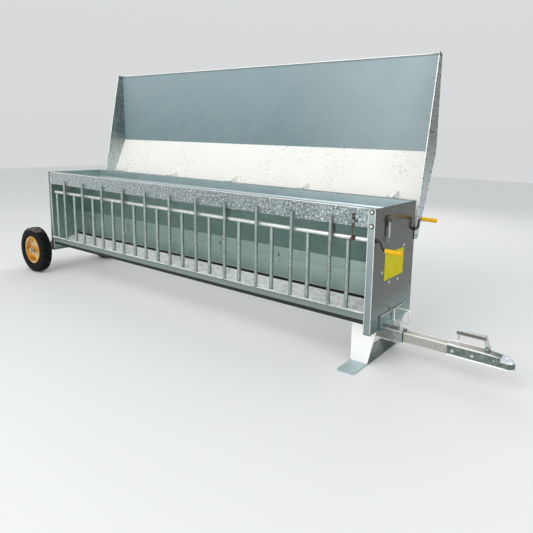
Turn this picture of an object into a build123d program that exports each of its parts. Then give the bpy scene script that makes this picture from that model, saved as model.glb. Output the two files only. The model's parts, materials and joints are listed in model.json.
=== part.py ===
"""Wheeled creep feeder for lambs: a long galvanised hopper with a barred feeding side front and rear,
a hinged roof lid, wheels at one end and a stand with a towing drawbar at the other.

Frame, in millimetres: the origin lies on the ground under the middle of the stand's base bar.
+X runs along the feeder towards the towing end, +Y from the front side to the rear side, +Z up.
The front side is built, and the rear side is its mirror image where the two are alike.
"""

from build123d import *
from math import cos, hypot, pi, radians, sin
import os

os.makedirs("parts", exist_ok=True)

# Body of the hopper
body_length = 3000.0
body_width = 500.0
top_height = 845.0
plate_bottom = 195.0
end_plate_gauge = 3.0
sheet_gauge = 2.0
hitch_face_ahead = 93.0
post_flange = 37.0
foot_flange = 36.0
cut_margin = 1.0

# Barred sides
bay_count = 12
bar_radius = 10.0
bar_overlap = 34.0
trim_height = 97.0
trim_hole_radius = 5.0
trim_hole_rise = 14.0
tab_gap = 2.0

# Trough pan and hopper walls
rail_bottom_rise = 52.5
rail_height = 66.0
rail_roll_short = 1.0
pan_flat = 45.0
pan_flat_rise = 5.0
pan_ridge_rise = 54.0
throat_width = 86.0
wall_tab = 52.0
wall_bend_rise = 201.5
wall_bottom_rise = 71.5

# Feed slides and their clamps
slide_gauge = 3.0
slide_gap = 0.5
slide_end_gap = 2.0
slide_bottom_rise = 16.5
slide_height = 125.0
slide_drop = 20.0
slide_lift = 45.0
slide_slot_play = 0.5
clamp_count = 6
clamp_rise = 116.5
clamp_bolt_radius = 4.0
clamp_head_radius = 9.0
clamp_head = 4.0
wing_hub_radius = 8.0
wing_hub_length = 9.0
wing_span = 34.0
wing_rise = 11.0
wing_root = 4.0
wing_gauge = 4.0

# Creep gates
gate_rail_radius = 12.0
gate_bar_radius = 12.0
gate_shift = -30.0
gate_clear = 1.0
gate_below_trim = 63.0
gate_running = 0.35
gate_travel = 60.0
gate_end_room = 17.0
gate_crank_gap = 42.0
gate_bar_rise = 22.5
gate_tie_rise = 28.5
gate_tie_height = 20.0
gate_tie_gauge = 4.0
guide_bays = (1, 4, 8, 11)
guide_width = 12.0
guide_wall = 5.0
guide_lap = 52.0
guide_under = 8.0

# Winding cranks, one to each gate
crank_rod_radius = 6.0
crank_running = 0.06
crank_screw_play = 0.3
crank_screw_length = 73.0
crank_bore_end = 4.0
crank_collar_radius = 10.0
crank_collar = 5.0
crank_bearing_radius = 11.0
crank_bearing_length = 5.0
crank_end_play = 0.3
crank_stand_off = 24.0
crank_bend = 13.0
crank_arm_front = (37.0, -52.0)
crank_arm_rear = (18.0, 57.0)
grip_radius = 13.0
grip_length = 92.0
grip_start = 37.0
grip_edge = 4.0

# Gate lock pins
lock_from_hitch = 122.0
lock_pin_radius = 4.0
lock_running = 0.06
lock_stand_off = 9.0
lock_lug_rise = 20.0
lock_lug_height = 14.0
lock_lug_width = 24.0
lock_lug_depth = 16.0
lock_eye_height = 12.0
lock_eye_width = 16.0
lock_eye_front = 7.0
lock_pin_lift = 1.0
lock_pin_rise = 66.0
lock_knob_radius = 6.0
lock_knob_height = 8.0

# Roof lid, measured with the lid shut: reach forward of the hinge axis, height above it
lid_open_angle = 101.0
lid_front_overhang = 316.0
lid_rear_overhang = 267.0
lid_ridge_reach = 310.0
lid_ridge_height = 141.0
lid_eave_height = 30.0
lid_front_hem = 12.0
lid_rest_gap = 0.5
lid_gable_drop = 15.0
lid_side_gap = 4.0
catch_stud_height = 34.0
stud_radius = 6.0
stud_length = 10.0

# Lid hinges
hinge_count = 5
hinge_end_margin = 180.0
hinge_out = 48.0
hinge_below_top = 7.0
hinge_radius = 8.0
hinge_pin_radius = 4.0
hinge_running = 0.06
hinge_width = 48.0
hinge_gap = 0.4
hinge_leaf_gauge = 4.0
hinge_leaf_height = 50.0
hinge_bracket = 12.0
lid_arm_reaches = (-40.0, 60.0)

# Lid catch on the hitch end plate
catch_from_front = 140.0
catch_below_top = 70.0
catch_plate_width = 40.0
catch_plate_up = 25.0
catch_plate_down = 33.0
catch_plate_gauge = 4.0
catch_stand_off = 9.0
catch_gauge = 5.0
catch_width = 18.0
catch_pin_radius = 5.0
catch_running = 0.06
catch_length = 103.0
catch_notch_play = 1.5
catch_cap_gap = 1.0
catch_cap = 4.0

# Label plate and bolts on the hitch end plate: distance from the front face, distance below the top
label_from_front = 130.0
label_below_top = 245.0
label_width = 230.0
label_height = 145.0
label_gauge = 1.5
plate_bolts = ((353.0, 232.0), (187.0, 406.0), (292.0, 411.0), (99.0, 339.0))
bolt_radius = 4.0
bolt_head_radius = 7.5
bolt_head = 5.0
nut_height = 6.0
post_bolts_below_top = (17.0, 88.0)
post_bolt_from_corner = 18.0

# Stand
base_length = 650.0
base_width = 100.0
base_gauge = 8.0
base_corner = 12.0
leg_inset = 70.0
leg_gauge = 6.0
bridge_gauge = 5.0
leg_foot_gap = 1.0
sill_height = 75.0
sill_inset = 100.0
sill_gauge = 6.0

# Towing drawbar
drawbar_size = 50.0
drawbar_wall = 4.0
drawbar_axis = 140.0
drawbar_back = 20.0
drawbar_front = 575.0
receiver_fit = 0.5
receiver_wall = 4.5
receiver_back = 60.0
receiver_mouth = 178.0
tow_pin_ahead = 153.0
tow_pin_radius = 8.0
tow_pin_running = 0.3
tow_pin_below = 30.0
tow_pin_point = 3.0
tow_pin_collar_radius = 15.0
tow_pin_collar = 6.0
tow_loop_width = 98.0
tow_loop_height = 86.0
tow_loop_rise = 33.0
tow_loop_wire = 9.0
tow_loop_edge = 3.5

# Ball coupling
coupling_back = 420.0
coupling_wall = 4.5
coupling_fit = 0.5
coupling_neck = 600.0
coupling_shoulder = 31.0
coupling_brow = 29.0
coupling_flange = 5.0
coupling_flange_gauge = 4.0
ball_ahead = 712.0
ball_below_axis = 10.0
socket_radius = 25.4
dome_wall = 7.6
socket_mouth = 20.0
coupling_lip = 13.5
jaw_half_width = 12.0
jaw_running = 0.4
jaw_behind_ball = 60.0
jaw_rise = 14.0
jaw_drop = 18.0
jaw_pin_radius = 4.0
jaw_back = 8.0
jaw_toe = 12.0
jaw_reach = 36.0
jaw_headroom = 13.5
drawbar_bolts = (450.0, 549.0)
drawbar_bolt_radius = 6.0
drawbar_bolt_head_radius = 10.0
drawbar_bolt_head = 7.0
handle_ahead = 612.0
handle_rise = 14.5
handle_pin_radius = 4.0
handle_boss = 11.0
handle_half_width = 12.0
handle_height = 62.5
handle_bar = 24.0
handle_corner = 9.0
handle_tail = 459.0
handle_neck = (7.0, 18.0)
handle_brow = (9.0, 10.0)
ear_gauge = 4.0
ear_gap = 0.4
pivot_running = 0.06
safety_ahead = 468.0
safety_below_top = 16.0
safety_boss = 5.0
safety_eye = 10.0
safety_half_width = 7.0
safety_pin_radius = 2.0
safety_length = 34.0
safety_gauge = 7.0
safety_slot_margin = 1.5

# Wheels and axle
tyre_radius = 187.5
tyre_width = 90.0
tyre_wall = 9.0
tyre_shoulder = 20.0
tyre_shoulder_in = 3.0
tyre_crown = 2.5
tyre_crown_in = 13.0
tread_depth = 9.0
lug_count = 22
lug_share = 0.62
lug_flank = 0.06
lug_stagger = 0.5
bead_radius = 101.6
rim_flange_radius = 113.0
rim_gauge = 4.0
rim_half_width = 34.0
disc_offset = 12.0
disc_edge_offset = 2.5
disc_radius = 70.0
hub_radius = 22.0
hub_length = 72.0
bush_gauge = 4.0
wheel_gap = 20.0
axle_ahead = 131.0
axle_radius = 12.5
axle_running = 0.06
axle_end = 11.0
thrust_gap = 0.4
washer_radius = 21.0
washer_gauge = 3.0
split_pin_radius = 2.5
split_pin_length = 44.0
axle_plate_inset = 46.0
axle_plate_gauge = 8.0
axle_plate_height = 150.0
axle_eye_radius = 30.0

# Places worked out from the sizes above
front_y = -body_width / 2
rear_y = body_width / 2
hitch_x = hitch_face_ahead
wheel_x = hitch_face_ahead - body_length
inner_hitch_x = hitch_x - end_plate_gauge
inner_wheel_x = wheel_x + end_plate_gauge
inside_x = (inner_wheel_x, inner_hitch_x)
bay = body_length / bay_count
face_y = front_y + end_plate_gauge
back_of_face_y = face_y + sheet_gauge
bar_y = face_y - bar_radius
trim_bottom = top_height - trim_height
gate_half = max(gate_bar_radius, gate_rail_radius)
gate_y = back_of_face_y + gate_clear + gate_half
gate_z = trim_bottom - gate_below_trim
guide_depth = gate_clear + gate_half + gate_rail_radius + guide_wall
tab_y = back_of_face_y + guide_depth + tab_gap
rail_bottom = plate_bottom + rail_bottom_rise
rail_top = rail_bottom + rail_height
rail_roll = 2 * bar_radius - rail_roll_short
wall_y = -throat_width / 2
slide_back_y = wall_y - slide_gap
slide_front_y = slide_back_y - slide_gauge
hinge_y = -face_y + hinge_out
hinge_z = top_height - hinge_below_top
lid_front_reach = hinge_y - front_y + lid_front_overhang
lid_rear_reach = rear_y + lid_rear_overhang - hinge_y
lid_outer_hitch = hitch_x + lid_side_gap + sheet_gauge
lid_outer_wheel = wheel_x - lid_side_gap - sheet_gauge
catch_y = front_y + catch_from_front
catch_z = top_height - catch_below_top
lock_x = hitch_x - lock_from_hitch
lock_y = face_y - lock_stand_off
axle_x = wheel_x - axle_ahead
axle_z = tyre_radius
wheel_y = rear_y + wheel_gap + tyre_width / 2


def block(x, y, z):
    """Box between pairs of limits."""
    size = (x[1] - x[0], y[1] - y[0], z[1] - z[0])
    middle = (sum(x) / 2, sum(y) / 2, sum(z) / 2)
    return Pos(*middle) * Box(*size)


def rod(start, end, radius):
    """Round bar between two points."""
    along = Vector(*end) - Vector(*start)
    return extrude(Plane(origin=start, z_dir=along) * Circle(radius), amount=along.length)


def across(face_sketch, x):
    """Sheet drawn in the Y-Z plane and carried along X between two limits."""
    plane = Plane(origin=(x[0], 0, 0), x_dir=(0, 1, 0), z_dir=(1, 0, 0))
    return extrude(plane * face_sketch, amount=x[1] - x[0])


def along_y(face_sketch, y):
    """Sheet drawn in the X-Z plane and carried along Y between two limits."""
    plane = Plane(origin=(0, y[1], 0), x_dir=(1, 0, 0), z_dir=(0, -1, 0))
    return extrude(plane * face_sketch, amount=y[1] - y[0])


def outline(points):
    """Flat face with straight sides."""
    return make_face(Polyline(*points, close=True))


def bent_strip(points, gauge):
    """Section of a folded sheet: the points are its outer skin, the gauge lies to their left."""
    skin = [Vector(*point) for point in points]
    inner = []
    for index, point in enumerate(skin):
        sides = []
        if index > 0:
            sides.append((point - skin[index - 1]).normalized())
        if index < len(skin) - 1:
            sides.append((skin[index + 1] - point).normalized())
        normals = [Vector(-side.Y, side.X) for side in sides]
        bisector = sum(normals[1:], normals[0])
        if len(normals) == 2:
            bisector = bisector.normalized() * (1 / bisector.normalized().dot(normals[0]))
        inner.append(point + bisector * gauge)
    return outline([(p.X, p.Y) for p in skin + inner[::-1]])


def ring(outer, inner):
    """Flat ring."""
    return Circle(outer) - Circle(inner)


def hexagon_head(centre, direction, radius, height):
    """Hexagonal bolt head or nut standing on a face."""
    return extrude(Plane(origin=centre, z_dir=direction) * RegularPolygon(radius, 6), amount=height)


def both_sides(shape):
    """A shape and its mirror image across the feeder's middle plane."""
    return [shape, mirror(shape, about=Plane.XZ)]


def write(name, shapes):
    """Store one named piece, or one group of like pieces."""
    group = shapes if isinstance(shapes, list) else [shapes]
    solids = [solid for shape in group for solid in shape.solids()]
    result = solids[0] if len(solids) == 1 else Compound(children=solids)
    result.label = name
    export_step(result, f"parts/{name}.step")


def spread(first, last, count):
    """Evenly spaced places, ends included."""
    return [first + (last - first) * index / (count - 1) for index in range(count)]


# End plates: pressed sheets with a folded post along each long side and a folded foot
def end_plate(outer_x, inward):
    """One end plate; inward is +1 or -1 along X."""
    def span(depth):
        return tuple(sorted((outer_x, outer_x + inward * depth)))

    shell = block(span(end_plate_gauge), (front_y, rear_y), (plate_bottom, top_height))
    shell += block(span(foot_flange), (front_y, rear_y), (plate_bottom, plate_bottom + end_plate_gauge))
    hole_x = outer_x + inward * post_bolt_from_corner
    post = block(span(post_flange), (front_y, face_y), (plate_bottom, top_height))
    for drop in post_bolts_below_top:
        height = top_height - drop
        drill_ends = (hole_x, front_y - cut_margin, height), (hole_x, face_y + cut_margin, height)
        post -= rod(*drill_ends, bolt_radius)
    for side in both_sides(post):
        shell += side
    return shell


def on_hitch(from_front, below_top, out):
    """Point on the hitch end plate, stood out along X."""
    return (hitch_x + out, front_y + from_front, top_height - below_top)


def through_hitch_plate(y, z, radius):
    """Round cutter through the hitch end plate."""
    return rod((inner_hitch_x - cut_margin, y, z), (hitch_x + cut_margin, y, z), radius)


hitch_plate = end_plate(hitch_x, -1)
for from_front, below_top in plate_bolts:
    place = on_hitch(from_front, below_top, 0)
    hitch_plate -= through_hitch_plate(place[1], place[2], bolt_radius)
for side in (-1, 1):
    hitch_plate -= through_hitch_plate(side * gate_y, gate_z, crank_rod_radius + crank_running)
write("hitch_end_plate", hitch_plate)
write("wheel_end_plate", end_plate(wheel_x, 1))

# Top trims: folded bands with a ledge on top and drain holes between the bars
trim_section = bent_strip(
    [(tab_y + sheet_gauge, top_height), (face_y, top_height), (face_y, trim_bottom)], sheet_gauge
)
trim = across(trim_section, inside_x)
through_face = (face_y - cut_margin, back_of_face_y + cut_margin)
gate_xs = [wheel_x + (index + 0.5) * bay for index in range(bay_count)]
for x in gate_xs:
    hole_z = trim_bottom + trim_hole_rise
    trim -= rod((x, through_face[0], hole_z), (x, through_face[1], hole_z), trim_hole_radius)
post_bolts = []
for x in (hitch_x - post_bolt_from_corner, wheel_x + post_bolt_from_corner):
    for drop in post_bolts_below_top:
        z = top_height - drop
        trim -= rod((x, through_face[0], z), (x, through_face[1], z), bolt_radius)
        bolt = rod((x, front_y, z), (x, back_of_face_y, z), bolt_radius)
        bolt += hexagon_head((x, front_y, z), (0, -1, 0), bolt_head_radius, bolt_head)
        bolt += hexagon_head((x, back_of_face_y, z), (0, 1, 0), bolt_head_radius, nut_height)
        post_bolts += both_sides(bolt)
front_trim, rear_trim = both_sides(trim)
write("front_trim", front_trim)
write("rear_trim", rear_trim)
write("post_bolts", post_bolts)

# Trough pan: one sheet folded into a rail, a shallow trough and a middle ridge, the same on both sides
half_pan = [
    (face_y - rail_roll, rail_top - sheet_gauge),
    (face_y, rail_top - sheet_gauge),
    (face_y, rail_bottom),
    (face_y + pan_flat, rail_bottom + pan_flat_rise),
]
ridge = (0, rail_bottom + pan_flat_rise + pan_ridge_rise)
pan_skin = half_pan + [ridge] + [(-y, z) for y, z in reversed(half_pan)]
pan = across(bent_strip(pan_skin, sheet_gauge), inside_x)
for x in ((inside_x[0], wheel_x + post_flange), (hitch_x - post_flange, inside_x[1])):
    corner = block(x, (face_y - rail_roll, face_y), (rail_bottom, rail_top + cut_margin))
    for side in both_sides(corner):
        pan -= side
write("trough_pan", pan)

# Hopper walls: hung behind the trims, sloping in over the trough, then dropping to the feed slot
wall_top = top_height - sheet_gauge
wall_section = bent_strip(
    [
        (tab_y, wall_top),
        (tab_y, wall_top - wall_tab),
        (wall_y, rail_top + wall_bend_rise),
        (wall_y, rail_top + wall_bottom_rise),
    ],
    sheet_gauge,
)
wall = across(wall_section, inside_x)
clamp_z = rail_top + clamp_rise
clamp_xs = spread(wheel_x + bay, hitch_x - bay, clamp_count)
slot_half = clamp_bolt_radius + slide_slot_play
slot_y = (wall_y - cut_margin, wall_y + sheet_gauge + cut_margin)
for x in clamp_xs:
    slot_ends = (clamp_z - slide_drop, clamp_z + slide_lift)
    wall -= block((x - slot_half, x + slot_half), slot_y, slot_ends)
    for z in slot_ends:
        wall -= rod((x, slot_y[0], z), (x, slot_y[1], z), slot_half)
front_wall, rear_wall = both_sides(wall)
write("front_hopper_wall", front_wall)
write("rear_hopper_wall", rear_wall)


# Feed slides, each held by bolts with wing nuts in the wall's slots
def slide_clamp(x):
    """One bolt with its wing nut."""
    head_y = wall_y + sheet_gauge + slide_gap
    nut_y = (slide_front_y - wing_hub_length, slide_front_y)
    bolt = rod((x, nut_y[0], clamp_z), (x, head_y, clamp_z), clamp_bolt_radius)
    bolt += rod((x, head_y, clamp_z), (x, head_y + clamp_head, clamp_z), clamp_head_radius)
    wings = outline(
        [
            (x - wing_span / 2, clamp_z + wing_rise),
            (x - wing_root, clamp_z - wing_root),
            (x + wing_root, clamp_z - wing_root),
            (x + wing_span / 2, clamp_z + wing_rise),
            (x, clamp_z + wing_root),
        ]
    )
    nut = rod((x, nut_y[0], clamp_z), (x, nut_y[1], clamp_z), wing_hub_radius)
    nut += along_y(wings, (sum(nut_y) / 2 - wing_gauge / 2, sum(nut_y) / 2 + wing_gauge / 2))
    return [bolt, nut - bolt]


slide_x = (inner_wheel_x + slide_end_gap, inner_hitch_x - slide_end_gap)
slide_z = (rail_top + slide_bottom_rise, rail_top + slide_bottom_rise + slide_height)
slide = block(slide_x, (slide_front_y, slide_back_y), slide_z)
clamps = []
for x in clamp_xs:
    drill_ends = (x, slide_front_y - cut_margin, clamp_z), (x, slide_back_y + cut_margin, clamp_z)
    slide -= rod(*drill_ends, clamp_bolt_radius)
    clamps += slide_clamp(x)
front_slide, rear_slide = both_sides(slide)
write("front_slide", front_slide)
write("rear_slide", rear_slide)
write("front_slide_clamps", clamps)
write("rear_slide_clamps", [mirror(clamp, about=Plane.XZ) for clamp in clamps])

# Fixed bars: stood on the rolled rail and lapped over the trim
bars = []
for index in range(1, bay_count):
    x = wheel_x + index * bay
    bars.append(rod((x, bar_y, rail_top), (x, bar_y, trim_bottom + bar_overlap), bar_radius))
write("front_bars", bars)
write("rear_bars", [mirror(bar, about=Plane.XZ) for bar in bars])

# Creep gates: a sliding rail with an eye for the lock pin, and short bars tied together low down
gate_x = (wheel_x + gate_travel + gate_end_room, hitch_x - gate_crank_gap)
gate_rail = rod((gate_x[0], gate_y, gate_z), (gate_x[1], gate_y, gate_z), gate_rail_radius)
lock_eye = block(
    (lock_x - lock_eye_width / 2, lock_x + lock_eye_width / 2),
    (lock_y - lock_eye_front, gate_y),
    (gate_z - lock_eye_height / 2, gate_z + lock_eye_height / 2),
)
lock_drill = rod(
    (lock_x, lock_y, gate_z - lock_eye_height), (lock_x, lock_y, top_height), lock_pin_radius + lock_running
)
gate_rail += lock_eye - lock_drill
screw_x = (gate_x[1] - crank_screw_length - crank_bore_end, gate_x[1] + cut_margin)
screw_bore = rod(
    (screw_x[0], gate_y, gate_z), (screw_x[1], gate_y, gate_z), crank_rod_radius + crank_screw_play
)
gate_rail -= screw_bore
gate_bars = []
gate_bar_xs = [x + gate_shift for x in gate_xs]
for x in gate_bar_xs:
    bar = rod((x, gate_y, rail_bottom + gate_bar_rise), (x, gate_y, gate_z), gate_bar_radius)
    bar = bar - gate_rail - screw_bore
    gate_bars.append(max(bar.solids(), key=lambda solid: solid.volume))
tie_y = (gate_y + gate_bar_radius, gate_y + gate_bar_radius + gate_tie_gauge)
tie_z = (rail_bottom + gate_tie_rise, rail_bottom + gate_tie_rise + gate_tie_height)
tie_x = (gate_bar_xs[0] - gate_bar_radius, gate_bar_xs[-1] + gate_bar_radius)
gate_bars.append(block(tie_x, tie_y, tie_z))
write("front_gate_rail", gate_rail)
write("rear_gate_rail", mirror(gate_rail, about=Plane.XZ))
write("front_gate_bars", gate_bars)
write("rear_gate_bars", [mirror(bar, about=Plane.XZ) for bar in gate_bars])

# Guides that carry the gate rails, fixed to the backs of the trims
guides = []
for index in guide_bays:
    x = wheel_x + index * bay
    guide = block(
        (x - guide_width / 2, x + guide_width / 2),
        (back_of_face_y, back_of_face_y + guide_depth),
        (gate_z - gate_rail_radius - guide_under, trim_bottom + guide_lap),
    )
    eye_ends = (x - guide_width, gate_y, gate_z), (x + guide_width, gate_y, gate_z)
    guide -= rod(*eye_ends, gate_rail_radius + gate_running)
    guides += both_sides(guide)
write("gate_guides", guides)

# Gate locks: drop pins held by lugs on the trims, over the eyes on the gate rails
lug_z = (trim_bottom + lock_lug_rise, trim_bottom + lock_lug_rise + lock_lug_height)
lug = block(
    (lock_x - lock_lug_width / 2, lock_x + lock_lug_width / 2), (face_y - lock_lug_depth, face_y), lug_z
)
lug -= lock_drill
pin_z = (gate_z + lock_eye_height / 2 + lock_pin_lift, trim_bottom + lock_pin_rise)
lock_pin = rod((lock_x, lock_y, pin_z[0]), (lock_x, lock_y, pin_z[1]), lock_pin_radius)
knob_z = (pin_z[1] - lock_knob_height, pin_z[1])
lock_pin += rod((lock_x, lock_y, knob_z[0]), (lock_x, lock_y, knob_z[1]), lock_knob_radius)
front_pin, rear_pin = both_sides(lock_pin)
write("lock_lugs", both_sides(lug))
write("front_lock_pin", front_pin)
write("rear_lock_pin", rear_pin)


# Winding cranks: a bent rod whose screw end draws the gate rail along, in a bearing on the end plate
def crank(y, arm):
    """One crank rod with its collars, and its grip; the arm is its offset across and up."""
    def along(x, offset=(0, 0)):
        return (x, y + offset[0], gate_z + offset[1])

    arm_x = hitch_x + crank_stand_off
    path = FilletPolyline(
        along(gate_x[1] - crank_screw_length),
        along(arm_x),
        along(arm_x, arm),
        along(hitch_x + grip_start + grip_length - grip_radius, arm),
        radius=crank_bend,
    )
    start = Plane(origin=path @ 0, z_dir=path % 0)
    body = sweep(start * Circle(crank_rod_radius), path=path)
    inner_collar = inner_hitch_x - crank_end_play
    outer_collar = hitch_x + crank_bearing_length + crank_end_play
    for x in ((inner_collar - crank_collar, inner_collar), (outer_collar, outer_collar + crank_collar)):
        body += rod(along(x[0]), along(x[1]), crank_collar_radius)
    grip_x = (hitch_x + grip_start, hitch_x + grip_start + grip_length)
    grip = rod(along(grip_x[0], arm), along(grip_x[1], arm), grip_radius)
    return body, fillet(grip.edges(), grip_edge) - body


bearings = []
for name, y, arm in (("front", gate_y, crank_arm_front), ("rear", -gate_y, crank_arm_rear)):
    crank_rod, crank_grip = crank(y, arm)
    write(f"{name}_crank_rod", crank_rod)
    write(f"{name}_crank_grip", crank_grip)
    bearing = rod((hitch_x, y, gate_z), (hitch_x + crank_bearing_length, y, gate_z), crank_bearing_radius)
    bearing -= rod((inner_hitch_x, y, gate_z), (hitch_x + 2 * crank_bearing_length, y, gate_z),
                   crank_rod_radius + crank_running)
    bearings.append(bearing)
write("crank_bearings", bearings)


# Roof lid: a gabled sheet, drawn shut and then swung open about its hinge axis
def shut(reach, height):
    """Point of the shut lid across and up: reach forward of the hinge axis, height above it."""
    return (hinge_y - reach, hinge_z + height)


def swung(shape):
    """The shut lid's shape carried to the open position."""
    return shape.rotate(Axis((0, hinge_y, hinge_z), (1, 0, 0)), -lid_open_angle)


def roof_underside(reach):
    """Height of the roof's inner skin behind the ridge."""
    rise = lid_ridge_height - lid_eave_height
    run = lid_ridge_reach + lid_rear_reach
    skin = lid_eave_height + (reach + lid_rear_reach) * rise / run
    return skin - sheet_gauge * hypot(run, rise) / run


lean = radians(lid_open_angle - 90)
bar_outer_y = rear_y - end_plate_gauge + 2 * bar_radius
rest_height = (bar_outer_y + lid_rest_gap - hinge_y + lid_rear_reach * sin(lean)) / cos(lean)
front_eave = shut(lid_front_reach, lid_eave_height)
rear_eave = shut(-lid_rear_reach, lid_eave_height)
roof_ridge = shut(lid_ridge_reach, lid_ridge_height)
roof_skin = [
    shut(-lid_rear_reach, rest_height),
    rear_eave,
    roof_ridge,
    front_eave,
    shut(lid_front_reach, lid_eave_height - lid_front_hem),
]
roof = across(bent_strip(roof_skin, sheet_gauge), (lid_outer_wheel, lid_outer_hitch))
write("lid_panel", swung(roof))


def gable(x):
    """Gable plate under the roof sheet, with its free edge below the eaves."""
    face = outline(
        [
            shut(-lid_rear_reach, rest_height),
            shut(-lid_rear_reach, -lid_gable_drop),
            shut(lid_front_reach, -lid_gable_drop),
            front_eave,
            roof_ridge,
            rear_eave,
        ]
    )
    return across(face, x) - roof


hitch_gable = gable((lid_outer_hitch - sheet_gauge, lid_outer_hitch))
catch_stud = shut(hinge_y - catch_y, catch_stud_height)
hitch_gable += rod((lid_outer_hitch, *catch_stud), (lid_outer_hitch + stud_length, *catch_stud), stud_radius)
write("lid_gable_hitch", swung(hitch_gable))
write("lid_gable_wheel", swung(gable((lid_outer_wheel, lid_outer_wheel + sheet_gauge))))

# Lid hinges: brackets on the rear trim, an arm under the roof and a pin at each
body_leaves = []
lid_arms = []
hinge_pins = []
knuckle = hinge_width / 3
trim_face = -face_y
for x in spread(wheel_x + hinge_end_margin, hitch_x - hinge_end_margin, hinge_count):
    start = x - hinge_width / 2
    hinge_line = ((start, hinge_y, hinge_z), (start + hinge_width, hinge_y, hinge_z))
    pin = rod(*hinge_line, hinge_pin_radius)
    leaf = block(
        (start, start + hinge_width),
        (trim_face, trim_face + hinge_leaf_gauge),
        (hinge_z - hinge_leaf_height, hinge_z),
    )
    for place in (start, start + 2 * knuckle):
        limits = (place, place + knuckle)
        bracket = outline(
            [
                (trim_face, hinge_z - hinge_leaf_height + hinge_bracket),
                (hinge_y, hinge_z - hinge_radius),
                (hinge_y, hinge_z + hinge_radius),
                (trim_face, hinge_z),
            ]
        )
        leaf += across(bracket, limits)
        leaf += rod((limits[0], hinge_y, hinge_z), (limits[1], hinge_y, hinge_z), hinge_radius)
    body_leaves.append(leaf - pin)
    hinge_pins.append(pin)
    middle = (start + knuckle + hinge_gap, start + 2 * knuckle - hinge_gap)
    arm = outline(
        [
            shut(lid_arm_reaches[0], roof_underside(lid_arm_reaches[0])),
            shut(lid_arm_reaches[1], roof_underside(lid_arm_reaches[1])),
            shut(hinge_radius, 0),
            shut(-hinge_radius, 0),
        ]
    )
    arm = across(arm, middle)
    arm += rod((middle[0], hinge_y, hinge_z), (middle[1], hinge_y, hinge_z), hinge_radius)
    lid_arms.append(swung(arm - rod(*hinge_line, hinge_pin_radius + hinge_running)))
write("hinge_leaves_body", body_leaves)
write("lid_hinge_arms", lid_arms)
write("hinge_pins", hinge_pins)

# Swing-up catch for the shut lid, hanging on its pin
catch_out = (catch_stand_off, catch_stand_off + catch_gauge)
catch_x = (hitch_x + catch_out[0], hitch_x + catch_out[1])


def on_catch(out, drop=0.0):
    """Point on the catch's centre line, stood out along X and dropped below its pin."""
    return (hitch_x + out, catch_y, catch_z - drop)


catch_half = catch_width / 2
catch_plate = block(
    (hitch_x, hitch_x + catch_plate_gauge),
    (catch_y - catch_plate_width / 2, catch_y + catch_plate_width / 2),
    (catch_z - catch_plate_down, catch_z + catch_plate_up),
)
catch_end = catch_out[1] + catch_cap_gap
catch_plate += rod(on_catch(0), on_catch(catch_end), catch_pin_radius)
catch_plate += rod(on_catch(catch_end), on_catch(catch_end + catch_cap), catch_half)
write("catch_plate", catch_plate)
stud_drop = hinge_z + catch_stud_height - catch_z
notch_radius = stud_radius + catch_notch_play
catch_face = outline(
    [
        (catch_y - catch_half, catch_z),
        (catch_y - catch_half, catch_z - catch_length - catch_half),
        (catch_y + catch_half, catch_z - catch_length),
        (catch_y + catch_half, catch_z),
    ]
)
catch_hook = across(catch_face, catch_x) + rod(on_catch(catch_out[0]), on_catch(catch_out[1]), catch_half)
catch_hook -= rod(on_catch(0, stud_drop), on_catch(catch_end, stud_drop), notch_radius)
notch_z = (catch_z - stud_drop - notch_radius, catch_z - stud_drop + notch_radius)
catch_hook -= block(catch_x, (catch_y, catch_y + catch_width), notch_z)
catch_hook -= rod(on_catch(0), on_catch(catch_end), catch_pin_radius + catch_running)
write("lid_catch", catch_hook)

# Bare label plate and the bolts round it
label_y = (front_y + label_from_front, front_y + label_from_front + label_width)
label_z = (top_height - label_below_top - label_height, top_height - label_below_top)
write("label_plate", block((hitch_x, hitch_x + label_gauge), label_y, label_z))
end_bolts = []
for place in plate_bolts:
    bolt = rod(on_hitch(*place, -end_plate_gauge), on_hitch(*place, 0), bolt_radius)
    bolt += hexagon_head(on_hitch(*place, 0), (1, 0, 0), bolt_head_radius, bolt_head)
    end_bolts.append(bolt)
write("end_plate_bolts", end_bolts)

# Stand under the hitch end: base bar on the ground, two legs, a bridge with a saddle over the receiver
base = RectangleRounded(base_width, base_length, base_corner)
write("stand_base", extrude(base, amount=base_gauge))
bridge_bottom = plate_bottom - bridge_gauge
leg_shoulder = hitch_x - foot_flange - leg_foot_gap
pan_slope = pan_ridge_rise / -(face_y + pan_flat)
leg_top = rail_bottom + pan_flat_rise + pan_slope * (leg_inset - end_plate_gauge - pan_flat)
leg_face = outline(
    [
        (-base_width / 2, base_gauge),
        (base_width / 2, base_gauge),
        (hitch_x, plate_bottom),
        (leg_shoulder, plate_bottom),
        (leg_shoulder, leg_top),
        (-base_width / 2, leg_top),
    ]
)
front_leg_y = (front_y + leg_inset, front_y + leg_inset + leg_gauge)
write("stand_legs", both_sides(along_y(leg_face, front_leg_y)))
bridge_x = (-base_width / 2, hitch_x)
bridge_y = (front_leg_y[1], -front_leg_y[1])
bridge = block(bridge_x, bridge_y, (bridge_bottom, plate_bottom))
half_drawbar = drawbar_size / 2
half_receiver = half_drawbar + receiver_fit + receiver_wall
receiver_top = drawbar_axis + half_receiver
bridge += block(bridge_x, (-half_receiver, half_receiver), (receiver_top, bridge_bottom))
write("stand_bridge", bridge)
sill_y = (front_y + sill_inset, rear_y - sill_inset)
sill = block((hitch_x, hitch_x + sill_gauge), sill_y, (bridge_bottom, plate_bottom + sill_height))
write("end_sill", sill)


# Receiver tube, drawbar tube and drop pin
def square_tube(x, half, wall):
    """Square tube along X on the drawbar's axis."""
    bore = half - wall
    tube = block(x, (-half, half), (drawbar_axis - half, drawbar_axis + half))
    hollow_x = (x[0] - cut_margin, x[1] + cut_margin)
    return tube - block(hollow_x, (-bore, bore), (drawbar_axis - bore, drawbar_axis + bore))


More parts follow.
